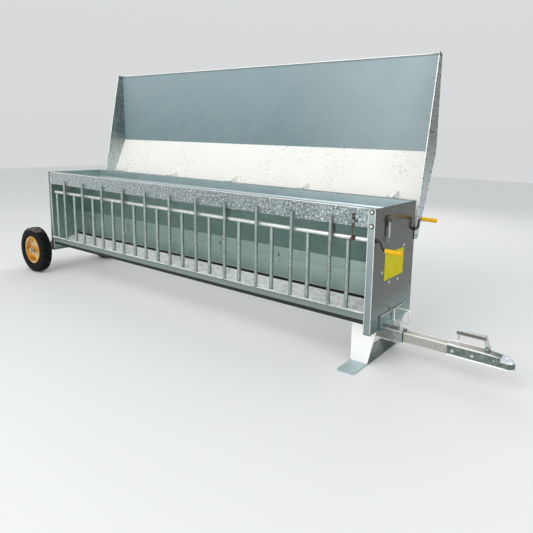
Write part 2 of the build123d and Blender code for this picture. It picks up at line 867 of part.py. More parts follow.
def upright(x, z, radius):
    """Upright round bar in the middle plane."""
    return rod((x, 0, z[0]), (x, 0, z[1]), radius)


def cross_pin(place, half, radius):
    """Round bar along Y through a point given along and up."""
    return rod((place[0], -half, place[1]), (place[0], half, place[1]), radius)


pin_hole = upright(tow_pin_ahead, (0, top_height), tow_pin_radius + tow_pin_running)
write("receiver_tube", square_tube((-receiver_back, receiver_mouth), half_receiver, receiver_wall) - pin_hole)
drawbar = square_tube((-drawbar_back, drawbar_front), half_drawbar, drawbar_wall) - pin_hole
bolt_drills = [cross_pin((x, drawbar_axis), drawbar_size, drawbar_bolt_radius) for x in drawbar_bolts]
for drill in bolt_drills:
    drawbar -= drill
write("drawbar_tube", drawbar)

loop_low = receiver_top + tow_loop_rise
loop_face = RectangleRounded(tow_loop_width, tow_loop_height, tow_loop_wire * 2)
loop_room = (tow_loop_width - 2 * tow_loop_wire, tow_loop_height - 2 * tow_loop_wire)
loop_face -= RectangleRounded(*loop_room, tow_loop_wire)
loop_middle = (tow_pin_ahead, tow_loop_wire / 2, loop_low + tow_loop_height / 2)
loop = extrude(Plane(origin=loop_middle, x_dir=(1, 0, 0), z_dir=(0, -1, 0)) * loop_face, amount=tow_loop_wire)
loop = fillet(loop.edges().filter_by(Plane.XZ), tow_loop_edge)
tow_foot = drawbar_axis - half_receiver - tow_pin_below
tow_pin = upright(tow_pin_ahead, (tow_foot, loop_low + tow_loop_wire / 2), tow_pin_radius)
tow_pin = chamfer(tow_pin.faces().sort_by(Axis.Z)[0].edges(), tow_pin_point)
tow_pin += upright(tow_pin_ahead, (receiver_top, receiver_top + tow_pin_collar), tow_pin_collar_radius)
write("tow_pin", tow_pin + loop)

# Ball coupling: pressed housing over the drawbar's end, domed round the ball socket
half_fit = half_drawbar + coupling_fit
half_body = half_fit + coupling_wall
body_top = drawbar_axis + half_body
body_low = drawbar_axis - half_body
ball_z = drawbar_axis - ball_below_axis
dome_radius = socket_radius + dome_wall
dome_low = ball_z - socket_mouth
jaw_pivot = (ball_ahead - jaw_behind_ball, ball_z + jaw_rise)
handle_pivot = (handle_ahead, body_top + handle_rise)
handle_top = handle_pivot[1] + handle_height
side_face = outline(
    [
        (coupling_back, body_low),
        (drawbar_front, body_low),
        (coupling_neck + half_fit, dome_low),
        (ball_ahead, dome_low),
        (ball_ahead, ball_z + coupling_brow),
        (coupling_neck + half_fit, body_top),
        (coupling_back, body_top),
    ]
)
plan_face = outline(
    [
        (coupling_back, -half_body),
        (coupling_neck, -half_body),
        (ball_ahead, -coupling_shoulder),
        (ball_ahead, coupling_shoulder),
        (coupling_neck, half_body),
        (coupling_back, half_body),
    ]
)
housing = along_y(side_face, (-body_top, body_top)) & extrude(plan_face, amount=2 * body_top)
dome = Pos(ball_ahead, 0, ball_z) * Sphere(dome_radius)
dome -= block((0, 2 * ball_ahead), (-body_top, body_top), (0, dome_low + coupling_wall))
housing = housing + dome + upright(ball_ahead, (dome_low, dome_low + coupling_lip), dome_radius)
flange_half = half_body + coupling_flange
flange_shoulder = coupling_shoulder + coupling_flange
flange = outline(
    [
        (coupling_back, -flange_half),
        (coupling_neck, -flange_half),
        (ball_ahead, -flange_shoulder),
        (ball_ahead, flange_shoulder),
        (coupling_neck, flange_half),
        (coupling_back, flange_half),
    ]
)
flange += Pos(ball_ahead, 0) * Circle(dome_radius + coupling_flange)
housing += Pos(0, 0, dome_low) * extrude(flange, amount=coupling_flange_gauge)
room_top = drawbar_axis + half_fit
housing -= block((0, jaw_pivot[0] + coupling_wall), (-half_fit, half_fit), (0, room_top))
jaw_room_half = jaw_half_width + jaw_running
jaw_room_top = jaw_pivot[1] + jaw_headroom
housing -= block((jaw_pivot[0], ball_ahead), (-jaw_room_half, jaw_room_half), (0, jaw_room_top))
housing -= Pos(ball_ahead, 0, ball_z) * Sphere(socket_radius)
housing -= upright(ball_ahead, (0, ball_z), socket_radius)
ear_y = (handle_half_width + ear_gap, handle_half_width + ear_gap + ear_gauge)
ear = along_y(Pos(*handle_pivot) * Circle(handle_boss), ear_y)
ear += block((handle_ahead - handle_boss, handle_ahead + handle_boss), ear_y, (body_top, handle_pivot[1]))
for side in both_sides(ear):
    housing += side
housing -= cross_pin(handle_pivot, body_top, handle_pin_radius)
housing -= cross_pin(jaw_pivot, body_top, jaw_pin_radius)
for drill in bolt_drills:
    housing -= drill
write("coupling_housing", housing)

coupling_bolts = []
for x in drawbar_bolts:
    shank = cross_pin((x, drawbar_axis), half_body, drawbar_bolt_radius)
    near, far = (x, -half_body, drawbar_axis), (x, half_body, drawbar_axis)
    head = hexagon_head(near, (0, -1, 0), drawbar_bolt_head_radius, drawbar_bolt_head)
    nut = hexagon_head(far, (0, 1, 0), drawbar_bolt_head_radius, drawbar_bolt_head)
    coupling_bolts.append(shank + head + nut)
write("coupling_bolts", coupling_bolts)

jaw_bottom = ball_z - jaw_drop
jaw_face = outline(
    [
        (jaw_pivot[0] - jaw_back, jaw_pivot[1] + jaw_back),
        (jaw_pivot[0] - jaw_back, jaw_bottom + jaw_toe),
        (jaw_pivot[0] + jaw_pin_radius, jaw_bottom),
        (jaw_pivot[0] + jaw_reach, jaw_bottom),
        (jaw_pivot[0] + jaw_reach, jaw_pivot[1] - jaw_pin_radius),
        (jaw_pivot[0] + jaw_back, jaw_pivot[1] + jaw_back),
    ]
)
jaw = along_y(jaw_face, (-jaw_half_width, jaw_half_width))
jaw -= Pos(ball_ahead, 0, ball_z) * Sphere(socket_radius + jaw_running)
jaw -= upright(ball_ahead, (0, ball_z), socket_radius + jaw_running)
write("coupling_jaw", jaw - cross_pin(jaw_pivot, body_top, jaw_pin_radius + pivot_running))
jaw_pin = cross_pin(jaw_pivot, half_body + coupling_wall, jaw_pin_radius)
write("coupling_pins", [jaw_pin, cross_pin(handle_pivot, ear_y[1], handle_pin_radius)])

# Coupling handle with its finger gap, and the safety catch hung on a pin in its tail
px, pz = handle_pivot
handle_face = outline(
    [
        (px - handle_neck[0], pz),
        (px - handle_neck[1], handle_top - handle_bar),
        (handle_tail, handle_top - handle_bar),
        (handle_tail, handle_top),
        (px - handle_brow[1], handle_top),
        (px + handle_brow[0], pz),
    ]
)
handle_corners = [corner for corner in handle_face.vertices() if corner.Y > pz + handle_boss]
handle_face = fillet(handle_corners, handle_corner)
handle_face += Pos(px, pz) * Circle(handle_boss)
safety_pivot = (safety_ahead, handle_top - safety_below_top)
sx, sz = safety_pivot
handle = along_y(handle_face + Pos(sx, sz) * Circle(safety_eye), (-handle_half_width, handle_half_width))
handle -= cross_pin(handle_pivot, body_top, handle_pin_radius + pivot_running)
slot_half_width = safety_half_width + ear_gap
slot_reach = safety_eye + cut_margin
slot_z = (sz - slot_reach, sz + safety_boss + safety_slot_margin)
handle -= block((sx - slot_reach, sx + slot_reach), (-slot_half_width, slot_half_width), slot_z)
handle += cross_pin(safety_pivot, handle_half_width, safety_pin_radius)
write("coupling_handle", handle)
safety = along_y(Pos(sx, sz) * Circle(safety_boss), (-safety_half_width, safety_half_width))
tongue_x = (sx - safety_boss, sx - safety_boss + safety_gauge)
safety += block(tongue_x, (-safety_half_width, safety_half_width), (sz - safety_length, sz))
write("safety_catch", safety - cross_pin(safety_pivot, body_top, safety_pin_radius + pivot_running))

# Axle with its plates on the wheel end, washers and split pins
thrust_inner = wheel_y - hub_length / 2 - thrust_gap
thrust_outer = wheel_y + hub_length / 2 + thrust_gap
split_y = thrust_outer + washer_gauge + split_pin_radius
axle_place = (axle_x, axle_z)
axle = cross_pin(axle_place, split_y + axle_end, axle_radius)
fixings = []


def ring_about_axle(y, outer, inner):
    """Flat ring round the axle between two limits along Y."""
    return along_y(Pos(*axle_place) * ring(outer, inner), y)


for limits in ((thrust_inner - washer_gauge, thrust_inner), (thrust_outer, thrust_outer + washer_gauge)):
    fixings += both_sides(ring_about_axle(limits, washer_radius, axle_radius))
half_pin = split_pin_length / 2
split_pin = rod((axle_x, split_y, axle_z - half_pin), (axle_x, split_y, axle_z + half_pin), split_pin_radius)
for pin in both_sides(split_pin):
    axle -= pin
    fixings.append(pin)
write("axle", axle)
write("axle_fixings", fixings)
plate_face = outline(
    [
        (wheel_x, plate_bottom),
        (wheel_x, plate_bottom + axle_plate_height),
        (axle_x, axle_z + axle_eye_radius),
        (axle_x, axle_z - axle_eye_radius),
    ]
)
plate_face += Pos(*axle_place) * Circle(axle_eye_radius)
plate_face -= Pos(*axle_place) * Circle(axle_radius)
axle_plate_y = (front_y + axle_plate_inset, front_y + axle_plate_inset + axle_plate_gauge)
write("axle_plates", both_sides(along_y(plate_face, axle_plate_y)))


# Wheels: a knobbly tyre on a dished steel rim, turning on a bush
def turned(profile, y):
    """Solid of revolution round the axle; the profile is (distance along the axle, radius)."""
    plane = Plane(origin=(axle_x, y, axle_z), x_dir=(0, 1, 0), z_dir=(-1, 0, 0))
    return revolve(plane * profile, axis=Axis((axle_x, y, axle_z), (0, 1, 0)))


def knobbly(y, phase):
    """Toothed disc that cuts one half of the tread into lugs."""
    step = 2 * pi / lug_count
    outer = tyre_radius + cut_margin
    root = tyre_radius - tread_depth
    points = []
    for index in range(lug_count):
        lug = ((0, outer), (lug_share, outer), (lug_share + lug_flank, root), (1 - lug_flank, root))
        for turn, radius in lug:
            angle = (index + phase + turn) * step
            points.append((axle_x + radius * cos(angle), axle_z + radius * sin(angle)))
    return along_y(outline(points), y)


def tyre(y):
    """One tyre: hollow carcass with lugs in two staggered rows."""
    half = tyre_width / 2
    seat = rim_half_width - rim_gauge
    shoulder = tyre_radius - tyre_shoulder
    belly = (bead_radius + shoulder) / 2
    half_outer = [
        (seat, bead_radius),
        (seat, rim_flange_radius),
        (half, belly),
        (half - tyre_shoulder_in, shoulder),
        (half - tyre_crown_in, tyre_radius - tyre_crown),
    ]
    half_room = [
        (seat - tyre_wall, bead_radius),
        (half - tyre_wall, belly),
        (half - tyre_wall, shoulder - tyre_wall),
    ]
    outer = outline([(-a, r) for a, r in half_outer] + [(0, tyre_radius)] + half_outer[::-1])
    room = outline([(-a, r) for a, r in half_room] + half_room[::-1])
    carcass = turned(outer - room, y)
    tread = knobbly((y - half, y), 0) + knobbly((y, y + half), lug_stagger)
    return carcass & tread


def rim(y):
    """One dished rim with its hub tube."""
    half = rim_half_width
    barrel = bead_radius - rim_gauge
    section = outline(
        [
            (-half, barrel),
            (half, barrel),
            (half, rim_flange_radius),
            (half - rim_gauge, rim_flange_radius),
            (half - rim_gauge, bead_radius),
            (rim_gauge - half, bead_radius),
            (rim_gauge - half, rim_flange_radius),
            (-half, rim_flange_radius),
        ]
    )
    dish = outline(
        [
            (disc_edge_offset, barrel),
            (disc_offset, disc_radius),
            (disc_offset, hub_radius),
            (disc_offset - rim_gauge, hub_radius),
            (disc_offset - rim_gauge, disc_radius - rim_gauge / 2),
            (disc_edge_offset - rim_gauge, barrel),
        ]
    )
    hub = Pos(0, (bush_radius + hub_radius) / 2) * Rectangle(hub_length, hub_radius - bush_radius)
    return turned(section, y) + turned(dish, y) + turned(hub, y)


bush_bore = axle_radius + axle_running
bush_radius = bush_bore + bush_gauge
bush = ring_about_axle((wheel_y - hub_length / 2, wheel_y + hub_length / 2), bush_radius, bush_bore)
for name, piece in (("tyre", tyre(wheel_y)), ("rim", rim(wheel_y)), ("bush", bush)):
    rear_piece, front_piece = both_sides(piece)
    write(f"front_{name}", front_piece)
    write(f"rear_{name}", rear_piece)
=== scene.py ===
# %% [markdown]
# # A wheeled creep feeder for lambs
# The feeder is a long hopper of galvanised sheet between two barred sides, under a gabled roof lid that is
# hinged along the rear. It has two wheels at one end, and a stand with a towing drawbar at the other. The
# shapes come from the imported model. This lesson adds the finishes, the welds, rivets and rolled edges, the
# light and the camera.

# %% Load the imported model
import json

import bmesh
import bpy
import numpy as np
from mathutils import Matrix, Vector


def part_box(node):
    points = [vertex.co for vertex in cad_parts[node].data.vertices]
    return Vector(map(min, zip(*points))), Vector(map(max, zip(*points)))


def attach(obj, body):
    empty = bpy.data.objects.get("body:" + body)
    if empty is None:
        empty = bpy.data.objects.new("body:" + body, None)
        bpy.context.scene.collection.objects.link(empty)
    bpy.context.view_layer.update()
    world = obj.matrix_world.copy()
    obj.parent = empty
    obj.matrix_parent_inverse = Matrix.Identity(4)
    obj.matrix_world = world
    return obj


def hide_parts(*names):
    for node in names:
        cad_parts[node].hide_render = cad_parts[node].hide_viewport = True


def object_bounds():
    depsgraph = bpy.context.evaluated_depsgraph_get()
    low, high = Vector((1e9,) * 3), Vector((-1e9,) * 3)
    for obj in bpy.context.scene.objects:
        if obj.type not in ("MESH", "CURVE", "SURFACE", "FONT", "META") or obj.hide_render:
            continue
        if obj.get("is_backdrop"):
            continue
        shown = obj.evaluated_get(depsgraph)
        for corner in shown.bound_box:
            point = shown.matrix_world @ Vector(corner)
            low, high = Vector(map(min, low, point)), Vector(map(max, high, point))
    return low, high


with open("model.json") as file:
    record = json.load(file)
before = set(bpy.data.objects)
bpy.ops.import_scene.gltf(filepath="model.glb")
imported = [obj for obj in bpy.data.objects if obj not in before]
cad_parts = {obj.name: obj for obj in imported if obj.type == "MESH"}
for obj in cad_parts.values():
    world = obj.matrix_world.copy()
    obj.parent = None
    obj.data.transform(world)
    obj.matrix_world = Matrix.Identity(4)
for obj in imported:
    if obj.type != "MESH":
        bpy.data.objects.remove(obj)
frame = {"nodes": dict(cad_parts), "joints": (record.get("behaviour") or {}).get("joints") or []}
nodes = frame["nodes"]
joints = {joint["name"]: joint for joint in frame["joints"]}
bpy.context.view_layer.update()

# %% [markdown]
# ## Where the viewer stands
# The eye is a little above the feeder's top edge, near the towing end, and looks along the barred side. A
# camera can be placed by its position and three angles. The frame here was cut from a larger picture, so
# the point straight ahead of the lens is not in the middle of it, and a small lens shift makes up for that.

# %% Camera
EYE = Vector((1.171, -2.379, 1.174))
YAW, PITCH, ROLL = np.radians((124.04, 9.52, 1.63))
SENSOR_MM, FOCAL_MM = 36.0, 33.39
SHIFT_RIGHT, SHIFT_UP = -0.0884, -0.0848
forward = Vector((np.cos(PITCH) * np.cos(YAW), np.cos(PITCH) * np.sin(YAW), -np.sin(PITCH)))
level = Vector((np.sin(YAW), -np.cos(YAW), 0.0))
upward = level.cross(forward)
right = np.cos(ROLL) * level + np.sin(ROLL) * upward
top = np.cos(ROLL) * upward - np.sin(ROLL) * level
lens = bpy.data.cameras.new("viewer")
lens.sensor_width = SENSOR_MM
lens.lens = FOCAL_MM
lens.shift_x = SHIFT_RIGHT
lens.shift_y = SHIFT_UP
viewer = bpy.data.objects.new("viewer", lens)
viewer.matrix_world = Matrix.Translation(EYE) @ Matrix((right, top, -forward)).transposed().to_4x4()
bpy.context.scene.collection.objects.link(viewer)
bpy.context.scene.camera = viewer
print("eye height", EYE.z, "focal length", lens.lens)

# %% [markdown]
# ## Main planes
# The welds, the folds and some of the painted places of light, shade and wear sit on the imported pieces, so
# their places are read from those pieces and not typed in again. The two end plates and the front trim give
# the outside of the body, and the crank's joint gives the line of the gate rail. X runs along the feeder,
# towards the towing end, and Y towards its rear.

# %% Main planes
MM = 0.001
hitch_low, hitch_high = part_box("hitch_end_plate")
wheel_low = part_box("wheel_end_plate")[0]
trim_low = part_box("front_trim")[0]
HITCH_X, WHEEL_X = hitch_high.x, wheel_low.x
POST_Y, POST_FOOT, TOP_Z = hitch_high.y, hitch_low.z, hitch_high.z
POST_FLANGE = hitch_high.x - hitch_low.x
TRIM_Y, TRIM_FOOT = -trim_low.y, trim_low.z
crank_axis = joints["front_crank_turn"]["pos_m"]
RAIL_Y, RAIL_Z = -crank_axis[1], crank_axis[2]
print("body length", round(HITCH_X - WHEEL_X, 3), "width", round(2 * POST_Y, 3), "top", round(TOP_Z, 3))

# %% [markdown]
# ## Colours and nodes
# A colour is written as a web value, as a paint maker would give it, and one function turns it to the
# linear numbers that the renderer mixes. One more function adds a shader node, sets it and links it, so
# that a finish reads as a list of steps.


# %% Colour and node helpers
def shade(web):
    """Linear RGBA of a web colour: each channel goes through the sRGB curve."""
    channels = np.array([int(web[i : i + 2], 16) for i in (1, 3, 5)]) / 255.0
    linear = np.where(channels <= 0.04045, channels / 12.92, ((channels + 0.055) / 1.055) ** 2.4)
    return (*linear.tolist(), 1.0)


def add(tree, kind, inputs=None, **settings):
    """Adds one node; inputs maps a socket's name or number to a value, or to the socket that feeds it."""
    made = tree.nodes.new(kind)
    for name, value in settings.items():
        setattr(made, name, value)
    for key, value in (inputs or {}).items():
        if isinstance(value, bpy.types.NodeSocket):
            tree.links.new(value, made.inputs[key])
        else:
            made.inputs[key].default_value = value
    return made


def blank(name):
    """A new material with its node tree, its surface shader and the object's own coordinates."""
    made = bpy.data.materials.new(name)
    made.use_nodes = True
    tree = made.node_tree
    coordinates = add(tree, "ShaderNodeTexCoord").outputs["Object"]
    return made, tree, tree.nodes["Principled BSDF"], coordinates


print("linear value of a middle grey", round(shade("#808080")[0], 3))

# %% [markdown]
# ## A place on a piece
# A piece folded from one sheet can be lighter or darker in one place: a rusty eye, or painted light and
# shade, such as a lit face, a shadowed strip or a highlight along an edge. A separate mesh could carry the
# second colour, but the imported shapes stay as they are. So a place is a box in the piece's own coordinates,
# in metres, found by one test for each axis.

# %% Mask of a box
MARGIN = 1 * MM  # how far a place reaches outside its piece


def box_mask(tree, place, spans):
    """1 inside a box of the piece's own coordinates and 0 outside: the product of one test for each span.
    Y counts from the middle plane to both sides. Facing is the Y part of the surface's direction, which is
    below 0 where it looks to the front."""
    axes = add(tree, "ShaderNodeSeparateXYZ", {0: place}).outputs
    share = 1.0
    for axis, low, high in spans:
        if axis == "Facing":
            normal = add(tree, "ShaderNodeTexCoord").outputs["Normal"]
            value = add(tree, "ShaderNodeSeparateXYZ", {0: normal}).outputs["Y"]
        elif axis == "Y":
            value = add(tree, "ShaderNodeMath", {0: axes["Y"]}, operation="ABSOLUTE").outputs[0]
        else:
            value = axes[axis]
        near = {0: value, 1: (low + high) / 2, 2: (high - low) / 2}
        test = add(tree, "ShaderNodeMath", near, operation="COMPARE").outputs[0]
        share = add(tree, "ShaderNodeMath", {0: share, 1: test}, operation="MULTIPLY").outputs[0]
    return share


# %% [markdown]
# ## Galvanised steel
# When steel sheet is dipped in molten zinc, the coat freezes into crystals called spangle: patches of
# slightly different grey, each with its own tilt. Over the years white streaks run down it, and dust and
# wet leave light and dark specks. A painted image would need unwrapping and would blur close up. Instead a
# cell pattern gives the patches, a stretched noise gives the streaks, and a fine noise gives the specks,
# each at its real size in millimetres. The colours lie over each other as layers, and each layer has a
# share between 0 and 1.

# %% Sizes and spans of the zinc's patterns
PER_METRE = 1000.0  # divided by a size in millimetres, it gives a pattern's scale
STREAK_WIDE_MM, STREAK_LONG_MM, CLOUD_MM = 1000.0 / 14.0, 625.0, 1000.0 / 3.0
STREAK_SCALE = (PER_METRE / STREAK_WIDE_MM, PER_METRE / STREAK_WIDE_MM, PER_METRE / STREAK_LONG_MM)
CLOUD = {"From Min": 0.35, "From Max": 0.65, "To Max": 0.45}
STREAK = {"From Min": 0.56, "From Max": 0.76, "To Max": 0.7}
DARK_SPECK = {"From Min": 0.30, "From Max": 0.46, "To Max": 0.0}
PALE_SPECK = {"From Min": 0.54, "From Max": 0.70}
DUST_GREY, ZINC_WHITE = "#3A4041", "#F4F4F0"
SPANGLE_DEPTH = 2 * MM
PATCH_ROUGH = (-0.05, 0.07)  # the smoothest and the roughest patch, against the sheet's own roughness
print("streaks", round(STREAK_WIDE_MM), "by", round(STREAK_LONG_MM), "mm, clouds", round(CLOUD_MM), "mm")

# %% Dirt dots
DROP_MM, DOT_GREY = 12.0, "#4E5755"
DOT = {"From Min": 0.63, "From Max": 0.71, "To Max": 0.5}
DOT_GROUP = {"From Min": 0.47, "From Max": 0.60}


def dirt_dots(tree, place, broad, spans):
    """Share of the dirt: the peaks of a small noise, times the high parts of a broad one, which puts them in
    groups, times the mask of a box."""
    drop = {"Vector": place, "Scale": PER_METRE / DROP_MM, "Detail": 1.0}
    drops = add(tree, "ShaderNodeTexNoise", drop).outputs[0]
    dots = add(tree, "ShaderNodeMapRange", {"Value": drops, **DOT}).outputs[0]
    group = add(tree, "ShaderNodeMapRange", {"Value": broad, **DOT_GROUP}).outputs[0]
    grouped = add(tree, "ShaderNodeMath", {0: dots, 1: group}, operation="MULTIPLY").outputs[0]
    within = {0: grouped, 1: box_mask(tree, place, spans)}
    return add(tree, "ShaderNodeMath", within, operation="MULTIPLY").outputs[0]


# %% Galvanised finish
def galvanised(
    name, dark, light, streak, patch_mm, rough, tilt,
    speck_mm, speck, metallic=0.85, fades=(), places=(), dotted=(),
):
    """Spangled zinc. Over the dark grey lie, in this order, lighter patches and clouds, streaks, fades along
    an axis, dark and pale specks, places with a colour of their own, and dirt dots inside one box."""
    made, tree, surface, place = blank(name)
    cells = add(tree, "ShaderNodeTexVoronoi", {"Vector": place, "Scale": PER_METRE / patch_mm})
    patch = add(tree, "ShaderNodeSeparateColor", {0: cells.outputs["Color"]}).outputs
    stretched = add(tree, "ShaderNodeMapping", {"Vector": place, "Scale": STREAK_SCALE}).outputs[0]
    runs = add(tree, "ShaderNodeTexNoise", {"Vector": stretched, "Scale": 1.0, "Detail": 6.0}).outputs[0]
    wide = {"Vector": place, "Scale": PER_METRE / CLOUD_MM, "Detail": 3.0}
    broad = add(tree, "ShaderNodeTexNoise", wide).outputs[0]
    small = {"Vector": place, "Scale": PER_METRE / speck_mm, "Detail": 2.0}
    fine = add(tree, "ShaderNodeTexNoise", small).outputs[0]
    axes = add(tree, "ShaderNodeSeparateXYZ", {0: place}).outputs
    cloud = add(tree, "ShaderNodeMapRange", {"Value": broad, **CLOUD}).outputs[0]
    run = add(tree, "ShaderNodeMapRange", {"Value": runs, **STREAK}).outputs[0]
    dusty = add(tree, "ShaderNodeMapRange", {"Value": fine, "To Min": speck, **DARK_SPECK}).outputs[0]
    bright = add(tree, "ShaderNodeMapRange", {"Value": fine, "To Max": speck, **PALE_SPECK}).outputs[0]
    layers = [(patch[0], light), (cloud, light), (run, streak)]
    for axis, start, end, web in fades:
        span = {"Value": axes[axis], "From Min": start, "From Max": end}
        layers.append((add(tree, "ShaderNodeMapRange", span).outputs[0], web))
    layers += [(dusty, DUST_GREY), (bright, ZINC_WHITE)]
    layers += [(box_mask(tree, place, spans), web) for spans, web in places]
    if dotted:
        layers.append((dirt_dots(tree, place, broad, dotted), DOT_GREY))
    colour = shade(dark)
    for share, web in layers:
        mixed = {0: share, 6: colour, 7: shade(web)}
        colour = add(tree, "ShaderNodeMix", mixed, data_type="RGBA").outputs[2]
    tree.links.new(colour, surface.inputs["Base Color"])
    surface.inputs["Metallic"].default_value = metallic
    dull = {"Value": patch[1], "To Min": rough + PATCH_ROUGH[0], "To Max": rough + PATCH_ROUGH[1]}
    tree.links.new(add(tree, "ShaderNodeMapRange", dull).outputs[0], surface.inputs["Roughness"])
    relief = {"Height": patch[2], "Strength": tilt, "Distance": SPANGLE_DEPTH}
    tree.links.new(add(tree, "ShaderNodeBump", relief).outputs[0], surface.inputs["Normal"])
    return made


# %% [markdown]
# ## Sheet of the body
# The trough, the hopper's walls and the end plates are cut from sheet of several ages and gauges. The trough
# is painted nearly white, for the light that its upward floor catches, the walls keep a smooth greenish skin
# with painted light and shade in bands, and the trim over the bars is dipped after folding, which leaves it
# coarse. One finish for all of them would look like grey paint. So each gets its own greys, its own spangle
# size and the places where the sheet differs.

# %% Trough and hopper finishes
# A place is a box, in metres, and its colour: the trough's outer lip, painted shade along the lip's foot, and
# a painted shadow on the strip under the slides.
lip_face = (("Y", 0.2455, 0.2480), ("Z", 0.262, 0.3112)), "#77847F"
lip_foot_shade = (("Y", 0.2400, 0.2480), ("Z", 0.240, 0.269)), "#171D1E"
slide_gap_shadow = (("Y", 0.0, 0.024), ("Z", 0.26, 0.32)), "#0E1112"
# Trough sheet: nearly white and dull, painted light for the upward floor that catches the sky, with coarse
# grey blotches and a grey outer lip.
pan_zinc = galvanised(
    "galvanised_trough", dark="#D4D8D6", light="#FDFDFC", streak="#FDFDFC",
    patch_mm=26.0, rough=0.75, tilt=0.10, speck_mm=22.0, speck=0.25, metallic=0.0,
    places=(lip_face, lip_foot_shade, slide_gap_shadow),
)
LIT_FOOT_TOP = 0.515  # the walls are painted paler up to this height, for the light that falls below the trim's shadow
lit_wall_foot = (("Z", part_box("front_hopper_wall")[0].z - MARGIN, LIT_FOOT_TOP),), "#9CAFA9"
lit_wall_head = (("Z", TRIM_FOOT - 3 * MM, TOP_Z),), "#CCDCDF"
# Smooth hopper wall: an even grey-green sheen in three bands: darker in the middle, the shade under the trim,
# and painted paler at its foot and its head, where light falls.
wall_zinc = galvanised(
    "smooth_galvanised_wall", dark="#7A948F", light="#86A09B", streak="#92ADA8",
    patch_mm=60.0, rough=0.40, tilt=0.01, speck_mm=7.0, speck=0.06,
    places=(lit_wall_foot, lit_wall_head),
)
# Feed slide of the same sheet: the same sheen, painted a little paler for the light that falls on it below
# the trim's shadow.
slide_zinc = galvanised(
    "smooth_galvanised_slide", dark="#9AADA8", light="#A4B6B1", streak="#AEBFBA",
    patch_mm=60.0, rough=0.42, tilt=0.01, speck_mm=7.0, speck=0.06,
)
print("nodes in the trough's finish", len(pan_zinc.node_tree.nodes))

# %% Trim and end plate finishes
# Trim dipped after folding: strong salt-and-pepper specks on a grey that pales towards the wheel end.
trim_zinc = galvanised(
    "hot_dip_galvanised_band", dark="#768283", light="#8C9899", streak="#A3ADAE",
    patch_mm=14.0, rough=0.40, tilt=0.12, speck_mm=13.0, speck=0.75,
    fades=(("X", -0.4, -2.9, "#B9C4C5"),),
)
# The front face of each post's flange is painted paler than the end sheet: painted light on the side that
# faces the front.
lit_post_face = (("Y", POST_Y - 1.5 * MM, POST_Y + 1.5 * MM),), "#8E9B9C"
# Rolled end sheet: dark and almost mirror-like, so it shows a blurred crank, and paler at its lower edge.
end_zinc = galvanised(
    "smooth_galvanised_end_sheet", dark="#5D615D", light="#646762", streak="#6C6F6A",
    patch_mm=60.0, rough=0.21, tilt=0.01, speck_mm=7.0, speck=0.08,
    fades=(("Z", 0.38, 0.20, "#849A9C"),),
    places=(lit_post_face,),
)
# Wheel end sheet: the same sheet gone dull, a soft grey-green without reflections.
far_end_zinc = galvanised(
    "dull_galvanised_end_sheet", dark="#93A8A5", light="#9EB3B0", streak="#A8BCB9",
    patch_mm=60.0, rough=0.50, tilt=0.01, speck_mm=7.0, speck=0.08,
    places=(lit_post_face,),
)
print("nodes in the end sheet's finish", len(end_zinc.node_tree.nodes))

# %% [markdown]
# ## Sheet of the lid
# The roof is one sheet with a ridge. Its front half stands upright when it is open and looks flat and
# grey-blue. Its rear half slopes back, and its inside is painted white for the sky's light that it catches,
# with scattered dots of dirt. The inside is told from the outside by the direction that the surface faces, so
# the sheet needs no second mesh.

# %% Lid finishes
roof_low, roof_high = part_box("lid_panel")
REAR_HALF_TOP = 1.115  # just under the ridge of the open lid
# The inside of the rear half: painted white for the sky's light that it catches, and the place of the dirt
# dots.
rear_half = (("Z", roof_low.z - MARGIN, REAR_HALF_TOP), ("Facing", -1.0, 0.0))
# Roof sheet: a matt, even grey-blue, a little lighter upwards, painted lighter towards the hitch, a painted
# reflection of the sky, and painted white inside its rear half for the sky's light.
roof_zinc = galvanised(
    "pre_galvanised_roof_sheet", dark="#7A9094", light="#80969A", streak="#869CA0",
    patch_mm=120.0, rough=0.78, tilt=0.0, speck_mm=9.0, speck=0.04, metallic=0.15,
    fades=(("Z", 1.15, 1.66, "#8EA2A6"), ("X", -1.0, 0.1, "#A4B3B6")),
    places=((rear_half, "#F4F3EE"),),
    dotted=rear_half,
)
# Gable plate: grey with strong specks, and paler towards its foot.
gable_zinc = galvanised(
    "galvanised_gable", dark="#727B78", light="#8A928F", streak="#A3AAA7",
    patch_mm=18.0, rough=0.42, tilt=0.08, speck_mm=9.0, speck=0.60,
    fades=(("Z", 1.20, 0.90, "#C4D0D2"),),
)
print("nodes in the roof's finish", len(roof_zinc.node_tree.nodes))

# %% [markdown]
# ## Bars, rails and plates
# Round bar and thick plate stay hot for longer after the dip. The zinc and the iron go on reacting meanwhile,
# which makes the coat duller than on sheet. So these finishes use the same function with smaller patches and
# stronger specks. The gate rail is nearly white, and the stand's legs are painted almost white for the sky's
# light that they catch.

# %% Bar and rail finishes
lugs_low, lugs_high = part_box("lock_lugs")
lock_eye = (("X", lugs_low.x, lugs_high.x), ("Z", RAIL_Z - 25 * MM, RAIL_Z + 25 * MM)), "#5D463B"
# Fixed bar: weathered grey, mottled with dark and pale specks.
bar_zinc = galvanised(
    "weathered_galvanised_bar", dark="#7F8D8A", light="#99A7A4", streak="#ABB8B5",
    patch_mm=18.0, rough=0.42, tilt=0.08, speck_mm=7.0, speck=0.40,
)
# Gate bar: newer zinc, with a more even grey and weaker specks.
gate_zinc = galvanised(
    "hot_dip_galvanised_bar", dark="#8C9B98", light="#A1B0AD", streak="#AEBCB9",
    patch_mm=18.0, rough=0.38, tilt=0.08, speck_mm=7.0, speck=0.20,
)
